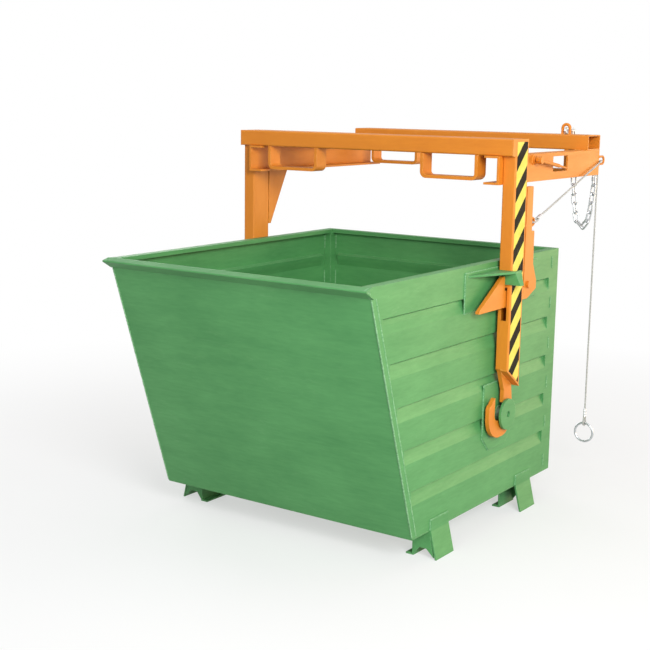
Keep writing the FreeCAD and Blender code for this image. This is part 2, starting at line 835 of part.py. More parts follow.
# Release lever: its finger lies under the latch's tail, and its top is pulled back by the cord
lever_start = arm_middle - d.lever_plate / 2
lever_y = axis_y + d.lever_pivot_back
lever_z = rim - d.lever_pivot_drop
lever_front = axis_y + d.lever_front
lever_back = axis_y + d.lever_bar_back
finger_top = tail_low - d.finger_gap
finger_front = axis_y + d.finger_tip
lever = make(
    "release_lever",
    add(
        "YZ", lever_start, d.lever_plate,
        [
            (lever_front, rim - d.lever_top_drop), (lever_back, rim - d.lever_top_drop),
            (lever_back, rim - d.lever_step_drop), (axis_y + d.lever_wide_back, rim - d.lever_step_drop),
            (axis_y + d.lever_wide_back, rim - d.lever_kink_drop),
            (axis_y + d.lever_low_back, rim - d.lever_low_drop),
            (axis_y + d.lever_low_back, rim - d.lever_end_drop), (lever_y, finger_top - d.finger_height),
            (finger_front, finger_top - d.finger_height), (finger_front, finger_top),
            (lever_front, finger_top),
        ],
        Circle(lever_y, lever_z, d.lever_pin / 2 + d.running_fit),
    ),
)
round_edges(
    lever, d.lever_round,
    lambda edge, middle: runs_along(edge, Vector(1, 0, 0))
    and (
        near(middle.z, rim - d.lever_top_drop) or near(middle.y, finger_front)
        or near(middle.y, axis_y + d.lever_low_back)
        or (near(middle.y, axis_y + d.lever_wide_back) and near(middle.z, rim - d.lever_step_drop))
    ),
)
ear_start = lever_start - d.ear_gap - d.ear_plate
make(
    "lever_ear",
    add(
        "YZ", ear_start, d.ear_plate,
        [
            (arm_back, lever_z - d.ear_height / 2), (lever_y, lever_z - d.ear_margin),
            (lever_y + d.ear_margin, lever_z - d.ear_margin / 2),
            (lever_y + d.ear_margin, lever_z + d.ear_margin / 2),
            (lever_y, lever_z + d.ear_margin), (arm_back, lever_z + d.ear_height / 2),
        ],
    ),
)
shank_start = ear_start + d.ear_plate
head_start = lever_start + d.lever_plate + d.bolt_gap
make(
    "lever_bolt",
    add("YZ", shank_start, head_start - shank_start, Circle(lever_y, lever_z, d.lever_pin / 2)),
    add("YZ", head_start, d.bolt_head_height, Circle(lever_y, lever_z, d.bolt_head / 2)),
)


def bar(name, radius, length, base, turn):
    rod = doc.addObject("Part::Cylinder", name)
    rod.Placement = FreeCAD.Placement(Vector(*[value_of(size) for size in base]), turn)
    for axis, size in zip("xyz", base):
        bind(rod, f"Placement.Base.{axis}", size)
    bind(rod, "Radius", radius)
    bind(rod, "Height", length)
    return rod


def bow(name, base, radius, thickness, reach, backward):
    """A round bar bent to a U: backward in an upright plane along Y, or else upward across X."""
    leg = reach - radius - thickness / 2
    x, y, z = base
    half = doc.addObject("Part::Torus", f"{name}_bend")
    if backward:
        turn = FreeCAD.Rotation(Vector(0, 1, 0), 90)
        along = FreeCAD.Rotation(Vector(1, 0, 0), -90)
        middle = (x, y + leg, z)
        feet = [(x, y, z - radius), (x, y, z + radius)]
    else:
        turn = FreeCAD.Rotation(Vector(1, 0, 0), 90)
        along = FreeCAD.Rotation()
        middle = (x, y, z + leg)
        feet = [(x - radius, y, z), (x + radius, y, z)]
    half.Placement = FreeCAD.Placement(Vector(*[value_of(size) for size in middle]), turn)
    for axis, size in zip("xyz", middle):
        bind(half, f"Placement.Base.{axis}", size)
    half.Angle3 = 180
    bind(half, "Radius1", radius)
    bind(half, "Radius2", thickness / 2)
    legs = [bar(f"{name}_leg{number}", thickness / 2, leg, foot, along) for number, foot in enumerate(feet)]
    whole = doc.addObject("Part::MultiFuse", name)
    whole.Shapes = [half] + legs
    return keep(whole, name)


ring_z = rim - d.ring_drop
eye_z = beam_low - d.eye_drop
web_middle = arm_in - d.link_wall / 2
bow_y = rear_beam_front + d.beam_depth / 2
bow_x = arm_in - d.link_flange - d.bow_inset
bow("lever_ring", (arm_middle, lever_back, ring_z), d.ring_radius, d.ring_bar, d.ring_reach, True)
bow("cord_eye", (web_middle, rear_beam_back, eye_z), d.eye_radius, d.eye_bar, d.eye_reach, True)
bow("chain_bow", (bow_x, bow_y, beam_top), d.bow_radius, d.bow_bar, d.bow_height, False)

# Clamp screw in its nut on the right link, turned by a tommy bar
nut_end = arm_in + d.nut_length
make(
    "screw_nut",
    add(
        "YZ", arm_in, d.nut_length,
        Circle(screw_y, screw_z, d.nut_diameter / 2), Circle(screw_y, screw_z, screw_hole),
    ),
)
screw_start = arm_in - d.link_wall - d.screw_inside
head_base = nut_end + d.screw_gap
head_middle = head_base + d.screw_head_length / 2
blank = make_body(
    "screw_blank",
    add("YZ", screw_start, head_base - screw_start, Circle(screw_y, screw_z, d.screw_diameter / 2)),
    add("YZ", head_base, d.screw_head_length, Circle(screw_y, screw_z, d.screw_head / 2)),
)
bar_turn = FreeCAD.Rotation(Vector(1, 0, 0), -90 + BAR_TILT_DEGREES)
tilt_across = math.cos(math.radians(BAR_TILT_DEGREES))
tilt_up = math.sin(math.radians(BAR_TILT_DEGREES))


def along_bar(distance):
    return (head_middle, screw_y + distance * tilt_across, screw_z + distance * tilt_up)


screw = doc.addObject("Part::Cut", "clamp_screw")
screw.Base = blank
screw.Tool = bar(
    "screw_cross_hole", d.bar_diameter / 2 + d.running_fit, d.screw_head * 2, along_bar(-d.screw_head),
    bar_turn,
)
keep(screw, "clamp_screw")
handle = doc.addObject("Part::MultiFuse", "tommy_bar")
handle.Shapes = [
    bar("tommy_bar_grip", d.bar_diameter / 2, d.bar_long + d.bar_short, along_bar(-d.bar_short), bar_turn),
    bar("tommy_bar_tip", d.bar_tip_diameter / 2, d.bar_tip, along_bar(d.bar_long), bar_turn),
]
keep(handle, "tommy_bar")

# Release cord: taut from the lever's ring to the cord eye, over it, and hanging down with a pull ring


def point(x, y, z):
    return Vector(value_of(x), value_of(y), value_of(z))


def keep_shape(shape, name):
    item = doc.addObject("Part::Feature", name)
    item.Shape = shape
    return keep(item, name)


def tube_along(edges, radius):
    wire = Part.Wire(edges)
    start = edges[0].valueAt(edges[0].FirstParameter)
    heading = edges[0].tangentAt(edges[0].FirstParameter)
    ring = Part.Wire(Part.makeCircle(radius, start, heading))
    solid = wire.makePipeShell([ring], True, False)
    expected = math.pi * radius ** 2 * wire.Length
    print(f"tube of {wire.Length:.0f} mm: volume / section x length = {solid.Volume / expected:.4f}")
    return solid


def rounded_route(points):
    """Straight runs joined by tangent arcs, each as large as its two runs allow."""
    edges = []
    last = points[0]
    for before, corner, after in zip(points, points[1:], points[2:]):
        arriving = (corner - before).normalize()
        leaving = (after - corner).normalize()
        turn = arriving.getAngle(leaving)
        setback = CORD_ARC_SHARE * min((corner - before).Length, (after - corner).Length)
        radius = setback / math.tan(turn / 2)
        begin = corner - arriving * setback
        end = corner + leaving * setback
        inward = (leaving - arriving).normalize()
        nearest = corner + inward * (radius / math.cos(turn / 2) - radius)
        edges.append(Part.LineSegment(last, begin).toShape())
        edges.append(Part.Arc(begin, nearest, end).toShape())
        print(f"cord bend: {math.degrees(turn):.0f} degrees, radius {radius:.1f} mm")
        last = end
    edges.append(Part.LineSegment(last, points[-1]).toShape())
    return edges


cord_radius = value_of(d.cord_diameter) / 2


def cord_loop(name, held, heading, sideways, bar_thickness):
    """The cord's end taken round a bar at held and back into its clamp, which lies along heading."""
    radius = value_of(bar_thickness) / 2 + cord_radius + value_of(d.loop_fit)
    length = value_of(d.loop_length)
    apart = cord_radius + value_of(d.loop_fit)
    far = math.hypot(length, apart)
    touch = math.atan2(apart, length) + math.acos(radius / far)

    def spot(along, across):
        return held + heading * along + sideways * across

    first = spot(radius * math.cos(touch), radius * math.sin(touch))
    second = spot(radius * math.cos(touch), -radius * math.sin(touch))
    half_touch = (touch + math.pi) / 2
    along_bend = radius * math.cos(half_touch)
    across_bend = radius * math.sin(half_touch)
    edges = [
        Part.LineSegment(spot(length, apart), first).toShape(),
        Part.Arc(first, spot(along_bend, across_bend), spot(-radius, 0)).toShape(),
        Part.Arc(spot(-radius, 0), spot(along_bend, -across_bend), second).toShape(),
        Part.LineSegment(second, spot(length, -apart)).toShape(),
    ]
    return keep_shape(tube_along(edges, cord_radius), name)


def cord_clamp(name, base, heading):
    sleeve = Part.makeCylinder(value_of(d.clamp_diameter) / 2, value_of(d.clamp_length), base, heading)
    return keep_shape(sleeve, name)


across = Vector(1, 0, 0)
leg_low = eye_z - d.eye_radius
hitch = point(arm_middle, lever_back + d.ring_reach - d.ring_bar / 2, ring_z)
eye_entry = point(web_middle + d.cord_outboard, rear_beam_back + d.cord_entry, leg_low + d.cord_lead)
over_leg = point(web_middle, rear_beam_back + d.cord_over, leg_low + d.cord_over_rise)
past_leg = point(web_middle - d.cord_inboard, rear_beam_back + d.cord_over, leg_low)
below_leg = point(
    web_middle - d.cord_inboard, rear_beam_back + d.cord_over + d.cord_lean, leg_low - d.cord_settle,
)
cord_end = below_leg - Vector(0, 0, value_of(d.cord_drop))
pull = (eye_entry - hitch).normalize()
level = (across - pull * across.dot(pull)).normalize()

cord_loop("lever_cord_loop", hitch, pull, level, d.ring_bar)
cord_clamp("lever_cord_clamp", hitch + pull * value_of(d.loop_length), pull)
taut_start = hitch + pull * value_of(d.loop_length + d.clamp_length)
route = rounded_route([taut_start, eye_entry, over_leg, past_leg, below_leg, cord_end])
keep_shape(tube_along(route[:1], cord_radius), "release_cord_taut")
keep_shape(tube_along(route[1:], cord_radius), "release_cord_hang")

upward = Vector(0, 0, 1)
ring_top = cord_end - upward * value_of(d.clamp_length + d.loop_length)
cord_clamp("pull_cord_clamp", ring_top + upward * value_of(d.loop_length), upward)
cord_loop("pull_cord_loop", ring_top, upward, Vector(0, 1, 0), d.pull_ring_bar)
ring_middle = ring_top - upward * value_of(d.pull_ring_radius)
pull_ring = Part.makeTorus(
    value_of(d.pull_ring_radius), value_of(d.pull_ring_bar) / 2, ring_middle, Vector(0, 1, 0),
)
keep_shape(pull_ring, "pull_ring")
print(f"release cord: {sum(edge.Length for edge in route):.0f} mm between its clamps")

# Safety chain: from its bow on the rear beam, over the edge, and hanging to a quick link on the right link


def chain_link(pitch, thickness, width, chamfer):
    """A link of bar with its corners taken off, along X, lying in the XY plane."""
    def racetrack(length, height):
        bend = height / 2
        straight = length / 2 - bend
        block = Part.makeBox(straight * 2, height, thickness, Vector(-straight, -bend, -thickness / 2))
        ends = [
            Part.makeCylinder(bend, thickness, Vector(side * straight, 0, -thickness / 2)) for side in (-1, 1)
        ]
        return block.multiFuse(ends).removeSplitter()

    outer = racetrack(pitch + thickness * 2, width)
    inner = racetrack(pitch, width - thickness * 2)
    ring = outer.cut(inner)
    return ring.makeChamfer(chamfer, ring.Edges)


def hanging_curve(start, end, length):
    """Points at a length along a chain that hangs between two places."""
    level_gap = math.hypot(end.x - start.x, end.y - start.y)
    drop = end.z - start.z
    wanted = math.sqrt(length ** 2 - drop ** 2)
    low, high = level_gap / 100, level_gap * 100
    for _ in range(200):
        stiffness = (low * high) ** 0.5
        if 2 * stiffness * math.sinh(level_gap / (2 * stiffness)) > wanted:
            low = stiffness
        else:
            high = stiffness
    middle = level_gap / 2 - stiffness * math.atanh(drop / length)

    def at(distance):
        begin = math.sinh(-middle / stiffness)
        travel = stiffness * math.asinh(distance / stiffness + begin) + middle
        height = stiffness * (math.cosh((travel - middle) / stiffness) - math.cosh(middle / stiffness))
        share = travel / level_gap
        return Vector(
            start.x + (end.x - start.x) * share, start.y + (end.y - start.y) * share, start.z + height,
        )

    return at


def placed_links(link, stations, first_normal):
    """A link between each two stations, each turned a quarter turn from the last."""
    links = []
    normal = first_normal
    before = (stations[1] - stations[0]).normalize()
    for number, (near_end, far_end) in enumerate(zip(stations, stations[1:])):
        heading = (far_end - near_end).normalize()
        normal = FreeCAD.Rotation(before, heading).multVec(normal)
        before = heading
        upright = normal if number % 2 == 0 else heading.cross(normal)
        turn = FreeCAD.Rotation(heading, upright.cross(heading), upright, "XZY")
        copy = link.copy()
        copy.Placement = FreeCAD.Placement((near_end + far_end) / 2, turn)
        links.append(copy)
    return links


pitch = value_of(d.chain_pitch)
step = pitch - value_of(d.chain_slack)
link_shape = chain_link(pitch, value_of(d.chain_bar), value_of(d.chain_width), value_of(d.chain_chamfer))
rest_height = beam_top + d.chain_rest
link_begin = point(bow_x, bow_y - d.bow_bar / 2 - d.chain_slack, rest_height)
edge_middle = point(bow_x, rear_beam_back - d.tube_round, beam_top - d.tube_round)
bend = value_of(d.chain_bend)
quick_y = rear_beam_back - d.quick_set + d.quick_radius
quick_low = link_low + d.link_wall - d.quick_sink - d.quick_length
chain_finish = point(quick_x, quick_y, quick_low - d.quick_radius + d.quick_bar / 2 + d.chain_slack)
hang_start = edge_middle + Vector(0, bend, 0)
lead_length = edge_middle.y - link_begin.y + bend * math.pi / 2
hang_length = step * CHAIN_LINKS - lead_length
hanging = hanging_curve(hang_start, chain_finish, hang_length)


def chain_place(distance):
    flat = edge_middle.y - link_begin.y
    if distance < flat:
        return link_begin + Vector(0, distance, 0)
    if distance < lead_length:
        turn = (distance - flat) / bend
        return edge_middle + Vector(0, math.sin(turn), math.cos(turn)) * bend
    return hanging(distance - lead_length)


stations = [chain_place(step * number) for number in range(CHAIN_LINKS + 1)]
keep_shape(Part.makeCompound(placed_links(link_shape, stations, across)), "safety_chain")
lowest = min(station.z for station in stations)
print(f"safety chain: {CHAIN_LINKS} links, {step * CHAIN_LINKS:.0f} mm, lowest at {lowest:.0f}")

quick_link = chain_link(
    value_of(d.quick_length + d.quick_radius * 2 - d.quick_bar), value_of(d.quick_bar),
    value_of(d.quick_radius * 2 + d.quick_bar), value_of(d.chain_chamfer),
)
quick_turn = FreeCAD.Rotation(Vector(0, 0, 1), Vector(0, 1, 0), Vector(-1, 0, 0), "XYZ")
quick_link.Placement = FreeCAD.Placement(point(quick_x, quick_y, quick_low + d.quick_length / 2), quick_turn)
keep_shape(quick_link, "chain_quick_link")

# Every piece is checked, then written

doc.recompute()
for item in doc.Objects:
    if "Invalid" in item.State or "Error" in item.State:
        raise RuntimeError(f"{item.Label} did not build")
os.makedirs("parts", exist_ok=True)
for item in pieces:
    if item.Shape.isNull() or not item.Shape.isValid():
        raise RuntimeError(f"{item.Label} has no valid shape")
    item.Shape.exportStep(f"parts/{item.Label}.step")
print(f"{len(pieces)} pieces")
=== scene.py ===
"""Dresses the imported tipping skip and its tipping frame: paint, tape, welds, cord, chain and studio."""

import math

import bpy
import numpy as np
from mathutils import Matrix, Vector


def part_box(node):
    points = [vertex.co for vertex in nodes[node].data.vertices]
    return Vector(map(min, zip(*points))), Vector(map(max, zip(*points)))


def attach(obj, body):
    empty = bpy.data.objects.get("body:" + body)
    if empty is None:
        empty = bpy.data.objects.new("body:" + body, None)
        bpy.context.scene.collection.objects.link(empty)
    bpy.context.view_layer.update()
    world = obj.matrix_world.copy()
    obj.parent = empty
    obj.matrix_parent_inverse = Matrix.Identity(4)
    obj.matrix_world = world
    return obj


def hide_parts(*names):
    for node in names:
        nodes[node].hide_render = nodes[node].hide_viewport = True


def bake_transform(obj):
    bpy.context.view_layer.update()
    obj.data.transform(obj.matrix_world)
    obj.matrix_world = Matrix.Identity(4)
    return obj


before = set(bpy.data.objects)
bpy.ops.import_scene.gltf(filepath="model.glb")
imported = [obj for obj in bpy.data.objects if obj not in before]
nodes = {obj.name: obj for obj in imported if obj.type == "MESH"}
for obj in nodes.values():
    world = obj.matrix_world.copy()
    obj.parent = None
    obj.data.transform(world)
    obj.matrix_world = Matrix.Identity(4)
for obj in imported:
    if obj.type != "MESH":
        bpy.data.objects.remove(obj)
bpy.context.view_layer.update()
scene = bpy.context.scene
scene.view_settings.view_transform = "Standard"

# Camera: the eye, where it looks, and its slight lean

EYE = Vector((2.607, -4.030, 1.575))
AZIMUTH = math.radians(35.01)
PITCH = math.radians(10.39)
LEAN = math.radians(0.836)
FOCAL_PIXELS = 1247.6
IMAGE_PIXELS = 650
SENSOR = 36.0


def make_camera():
    flat = math.cos(PITCH)
    back = Vector((math.sin(AZIMUTH) * flat, -math.cos(AZIMUTH) * flat, math.sin(PITCH)))
    level = Vector((math.cos(AZIMUTH), math.sin(AZIMUTH), 0))
    rise = back.cross(level)
    right = level * math.cos(LEAN) + rise * math.sin(LEAN)
    up = back.cross(right)
    data = bpy.data.cameras.new("studio_camera")
    data.sensor_width = SENSOR
    data.lens = FOCAL_PIXELS / IMAGE_PIXELS * SENSOR
    data.clip_start = 0.05
    data.clip_end = 200
    camera = bpy.data.objects.new("studio_camera", data)
    scene.collection.objects.link(camera)
    turn = Matrix((right, up, back)).transposed().to_4x4()
    camera.matrix_world = Matrix.Translation(EYE) @ turn
    scene.camera = camera


make_camera()

# Node trees


def put(tree, kind, inputs=None, **settings):
    """Adds one node, sets it, and fills its inputs with values or links."""
    node = tree.nodes.new(kind)
    for name, value in settings.items():
        setattr(node, name, value)
    for key, value in (inputs or {}).items():
        socket = node.inputs[key]
        if isinstance(value, bpy.types.NodeSocket):
            tree.links.new(value, socket)
        else:
            socket.default_value = value
    return node


def calc(tree, operation, first, second=0.0, clamp=False):
    """One sum on numbers or links."""
    node = put(tree, "ShaderNodeMath", {0: first, 1: second}, operation=operation, use_clamp=clamp)
    return node.outputs[0]


def spread(tree, value, low, high, new_low=0.0, new_high=1.0):
    """The value's range carried over to a new range, and held within it."""
    ends = {"Value": value, "From Min": low, "From Max": high, "To Min": new_low, "To Max": new_high}
    return put(tree, "ShaderNodeMapRange", ends).outputs[0]


def weighted(tree, *parts):
    """The sum of values that each count for a share."""
    total = None
    for value, share in parts:
        part = calc(tree, "MULTIPLY", value, share)
        total = part if total is None else calc(tree, "ADD", total, part)
    return total


def in_both(tree, first, second, amount):
    """A mask that is on where two masks are, by an amount."""
    return calc(tree, "MULTIPLY", calc(tree, "MULTIPLY", first, second), amount, True)


# The colour mix node's share, first and second colour, and its result, by number: its labels repeat
MIX_SHARE, MIX_FIRST, MIX_SECOND, MIX_RESULT = 0, 6, 7, 2


def blend_colour(tree, share, first, second):
    sockets = {MIX_SHARE: share, MIX_FIRST: first, MIX_SECOND: second}
    return put(tree, "ShaderNodeMix", sockets, data_type="RGBA").outputs[MIX_RESULT]


def shader_group(name, inputs, output):
    """A shader node group with named number and vector inputs, which puts out one number."""
    tree = bpy.data.node_groups.new(name, "ShaderNodeTree")
    for label, start in inputs.items():
        kind = "NodeSocketVector" if isinstance(start, tuple) else "NodeSocketFloat"
        tree.interface.new_socket(label, in_out="INPUT", socket_type=kind).default_value = start
    tree.interface.new_socket(output, in_out="OUTPUT", socket_type="NodeSocketFloat")
    return tree, put(tree, "NodeGroupInput").outputs, put(tree, "NodeGroupOutput").inputs


def use_group(tree, group, inputs):
    return put(tree, "ShaderNodeGroup", inputs, node_tree=group).outputs


def object_place(tree):
    return put(tree, "ShaderNodeTexCoord").outputs["Object"]


def noise(tree, place, scale, detail, roughness):
    given = {"Vector": place, "Scale": scale, "Detail": detail, "Roughness": roughness}
    return put(tree, "ShaderNodeTexNoise", given).outputs["Fac"]


def rolled_streaks():
    """Cloudy streaks that lie along the way the sheet was rolled and sprayed."""
    tree, given, result = shader_group(
        "rolled_streaks",
        {"Stretch": (1, 1, 1), "Scale": 10.0, "Grain Scale": 60.0, "Cloud Scale": 2.0},
        "Mask",
    )
    place = object_place(tree)
    along = put(tree, "ShaderNodeVectorMath", {0: place, 1: given["Stretch"]}, operation="MULTIPLY")
    fine = noise(tree, along.outputs[0], given["Scale"], 4.0, 0.55)
    grain = noise(tree, along.outputs[0], given["Grain Scale"], 2.0, 0.6)
    cloud = noise(tree, place, given["Cloud Scale"], 4.0, 0.55)
    marks = weighted(tree, (fine, 0.35), (grain, 0.25), (cloud, 0.40))
    tree.links.new(spread(tree, marks, 0.33, 0.67), result["Mask"])
    return tree


def edge_wear():
    """Where a corner of the metal has lost some of its coat, broken up along its length; the paints also
    use this mask to lay a painted highlight along their edges.
    """
    tree, given, result = shader_group(
        "edge_wear", {"Width": 0.003, "Break Scale": 60.0, "Amount": 0.5}, "Mask"
    )
    rounded = put(tree, "ShaderNodeBevel", {"Radius": given["Width"]}, samples=6)
    flat = put(tree, "ShaderNodeNewGeometry")
    alike = put(
        tree, "ShaderNodeVectorMath",
        {0: rounded.outputs[0], 1: flat.outputs["Normal"]},
        operation="DOT_PRODUCT",
    )
    edge = spread(tree, calc(tree, "SUBTRACT", 1.0, alike.outputs["Value"]), 0.03, 0.22)
    broken = spread(tree, noise(tree, object_place(tree), given["Break Scale"], 4.0, 0.65), 0.42, 0.62)
    tree.links.new(in_both(tree, edge, broken, given["Amount"]), result["Mask"])
    return tree


def settled_dust():
    """Pale dust on what faces up, thicker in patches."""
    tree, given, result = shader_group("settled_dust", {"Patch Scale": 6.0, "Amount": 0.3}, "Mask")
    facing = put(tree, "ShaderNodeSeparateXYZ", {0: put(tree, "ShaderNodeTexCoord").outputs["Normal"]})
    upward = spread(tree, facing.outputs["Z"], 0.25, 0.95)
    patch = spread(tree, noise(tree, object_place(tree), given["Patch Scale"], 5.0, 0.6), 0.35, 0.7)
    tree.links.new(in_both(tree, upward, patch, given["Amount"]), result["Mask"])
    return tree


def fine_scratches():
    """Thin pale scratches and rub marks, all lying roughly one way."""
    tree, given, result = shader_group(
        "fine_scratches", {"Stretch": (1, 1, 1), "Scale": 30.0, "Amount": 0.3}, "Mask"
    )
    place = object_place(tree)
    along = put(tree, "ShaderNodeVectorMath", {0: place, 1: given["Stretch"]}, operation="MULTIPLY")
    line = noise(tree, along.outputs[0], given["Scale"], 3.0, 0.5)
    thin = spread(tree, calc(tree, "ABSOLUTE", calc(tree, "SUBTRACT", line, 0.5)), 0.012, 0.0)
    where = spread(tree, noise(tree, place, 5.0, 3.0, 0.6), 0.52, 0.68)
    tree.links.new(in_both(tree, thin, where, given["Amount"]), result["Mask"])
    return tree


WAVE_OVER_PEEL = 20.0


def paint_skin():
    """The sprayed coat's orange peel over sheet that is never quite flat."""
    tree, given, result = shader_group(
        "paint_skin", {"Peel Scale": 350.0, "Wave Scale": 7.0, "Wave Share": 0.6}, "Height"
    )
    place = object_place(tree)
    peel = noise(tree, place, given["Peel Scale"], 1.0, 0.5)
    wave = noise(tree, place, given["Wave Scale"], 2.0, 0.5)
    swell = calc(tree, "MULTIPLY", calc(tree, "MULTIPLY", wave, given["Wave Share"]), WAVE_OVER_PEEL)
    tree.links.new(calc(tree, "ADD", peel, swell), result["Height"])
    return tree


STREAKS = rolled_streaks()
WEAR = edge_wear()
DUST = settled_dust()
SCRATCHES = fine_scratches()
SKIN = paint_skin()


def colour(red, green, blue):
    return (red, green, blue, 1.0)


def new_material(name, seen_colour):
    material = bpy.data.materials.new(name)
    material.use_nodes = True
    material.diffuse_color = seen_colour
    tree = material.node_tree
    shader = tree.nodes["Principled BSDF"]
    return material, tree, shader


def join(tree, output, shader, name):
    tree.links.new(output, shader.inputs[name])


def paint(name, stretch, deep, body, pale, bare, dusty, worn, scratched):
    """Sprayed satin paint on steel: streaks, dust, scratches, and worn edges whose paler tone is partly a
    painted edge highlight.
    """
    material, tree, shader = new_material(name, body)
    streaks = use_group(
        tree, STREAKS, {"Stretch": stretch, "Scale": 22.0, "Grain Scale": 120.0, "Cloud Scale": 3.2}
    )["Mask"]
    base = blend_colour(tree, streaks, deep, body)
    dust = use_group(tree, DUST, {"Patch Scale": 5.0, "Amount": dusty})["Mask"]
    scratch = use_group(
        tree, SCRATCHES, {"Stretch": stretch, "Scale": 26.0, "Amount": scratched}
    )["Mask"]
    wear = use_group(tree, WEAR, {"Width": 0.0028, "Break Scale": 70.0, "Amount": worn})["Mask"]
    base = blend_colour(tree, dust, base, pale)
    base = blend_colour(tree, scratch, base, pale)
    # Edges blend to the paler 'bare' tone: partly worn paint, partly a painted highlight along every edge
    base = blend_colour(tree, wear, base, bare)
    join(tree, base, shader, "Base Color")
    satin = spread(tree, streaks, 0.0, 1.0, 0.60, 0.52)
    dulled = calc(tree, "ADD", satin, calc(tree, "MULTIPLY", dust, 0.2))
    join(tree, dulled, shader, "Roughness")
    skin = use_group(tree, SKIN, {"Peel Scale": 420.0, "Wave Scale": 5.0, "Wave Share": 0.5})["Height"]
    rounded = put(tree, "ShaderNodeBevel", {"Radius": 0.0022}, samples=6)
    bump = put(
        tree, "ShaderNodeBump",
        {"Strength": 0.35, "Distance": 0.00035, "Height": skin, "Normal": rounded.outputs[0]},
    )
    join(tree, bump.outputs[0], shader, "Normal")
    shader.inputs["Specular IOR Level"].default_value = 0.5
    return material


# Each coat's shades: deep, body, pale for dust and scratches, and bare for the edges, which also serves
# as a painted edge highlight
GREENS = {
    "deep": colour(0.052, 0.225, 0.064),
    "body": colour(0.089, 0.314, 0.099),
    "pale": colour(0.300, 0.500, 0.280),
    "bare": colour(0.420, 0.600, 0.400),
}
ORANGES = {
    "deep": colour(0.610, 0.185, 0.009),
    "body": colour(0.695, 0.231, 0.012),
    "pale": colour(0.720, 0.370, 0.085),
    "bare": colour(0.820, 0.480, 0.180),
}
SKIP_USE = {"dusty": 0.15, "worn": 0.55, "scratched": 0.10}
FRAME_USE = {"dusty": 0.22, "worn": 0.60, "scratched": 0.20}
# How streaks and scratches stretch: little change along the way that they lie
ACROSS = (0.16, 1.0, 1.0)
ALONG = (1.0, 0.16, 1.0)
UPRIGHT = (1.0, 1.0, 0.20)

skip_across = paint("skip_paint_across", ACROSS, **GREENS, **SKIP_USE)
skip_along = paint("skip_paint_along", ALONG, **GREENS, **SKIP_USE)
frame_across = paint("frame_paint_across", ACROSS, **ORANGES, **FRAME_USE)
frame_along = paint("frame_paint_along", ALONG, **ORANGES, **FRAME_USE)
frame_upright = paint("frame_paint_upright", UPRIGHT, **ORANGES, **FRAME_USE)


def weld_paint(name, deep, body, pale):
    """Paint over a weld, mottled paler in patches: thinner paint, together with a painted highlight that
    stands in for the glints on the ripples.
    """
    material, tree, shader = new_material(name, body)
    patch = noise(tree, object_place(tree), 160.0, 4.0, 0.6)
    # The paler patches are partly thin paint and partly painted highlight for the glints on the weld
    # ripples
    base = blend_colour(tree, spread(tree, patch, 0.3, 0.7), deep, pale)
    dust = use_group(tree, DUST, {"Patch Scale": 30.0, "Amount": 0.25})["Mask"]
    join(tree, blend_colour(tree, dust, base, pale), shader, "Base Color")
    join(tree, spread(tree, patch, 0.3, 0.7, 0.42, 0.30), shader, "Roughness")
    return material


# The paler weld shades carry painted highlight as well as thin paint
green_weld = weld_paint("weld_under_green", GREENS["deep"], GREENS["body"], colour(0.26, 0.50, 0.27))
orange_weld = weld_paint("weld_under_orange", ORANGES["deep"], ORANGES["body"], colour(0.76, 0.34, 0.05))


def zinc_plate(name, dark, light, rough_low, rough_high):
    """Plated or bare pale metal with its cloudy crystals."""
    material, tree, shader = new_material(name, light)
    place = object_place(tree)
    crystals = put(tree, "ShaderNodeTexVoronoi", {"Vector": place, "Scale": 240.0})
    tint = put(tree, "ShaderNodeSeparateXYZ", {0: crystals.outputs["Color"]}).outputs["X"]
    cloud = noise(tree, place, 45.0, 4.0, 0.6)
    shade = weighted(tree, (tint, 0.45), (cloud, 0.55))
    wear = use_group(tree, WEAR, {"Width": 0.0015, "Break Scale": 150.0, "Amount": 0.5})["Mask"]
    base = blend_colour(tree, spread(tree, shade, 0.25, 0.75), dark, light)
    join(tree, blend_colour(tree, wear, base, colour(0.86, 0.87, 0.88)), shader, "Base Color")
    join(tree, spread(tree, shade, 0.25, 0.75, rough_high, rough_low), shader, "Roughness")
    shader.inputs["Metallic"].default_value = 0.85
    return material


chain_zinc = zinc_plate("zinc_plated", colour(0.42, 0.44, 0.46), colour(0.70, 0.72, 0.74), 0.26, 0.46)
crimp_metal = zinc_plate(
    "crimped_aluminium", colour(0.60, 0.61, 0.62), colour(0.80, 0.81, 0.82), 0.30, 0.45
)


def turned_steel():
    """Bare turned steel of the pins, with tool rings and a breath of rust."""
    material, tree, shader = new_material("turned_steel", colour(0.45, 0.44, 0.43))
    place = object_place(tree)
    rings = put(
        tree, "ShaderNodeTexWave",
        {"Vector": place, "Scale": 260.0, "Distortion": 0.6, "Detail": 2.0},
        bands_direction="X",
    )
    rust = spread(tree, noise(tree, place, 38.0, 6.0, 0.68), 0.5, 0.74)
    base = blend_colour(tree, rings.outputs["Fac"], colour(0.36, 0.35, 0.34), colour(0.52, 0.51, 0.50))
    base = blend_colour(tree, calc(tree, "MULTIPLY", rust, 0.55), base, colour(0.20, 0.10, 0.045))
    join(tree, base, shader, "Base Color")
    join(tree, spread(tree, rust, 0.0, 1.0, 0.34, 0.75), shader, "Roughness")
    join(tree, spread(tree, rust, 0.0, 1.0, 0.95, 0.35), shader, "Metallic")
    return material


pin_steel = turned_steel()

STRIPE_PITCH = 0.1103
STRIPE_START = 1.3366
STRIPE_SHARE = 0.466
STRIPE_EDGE = 0.006


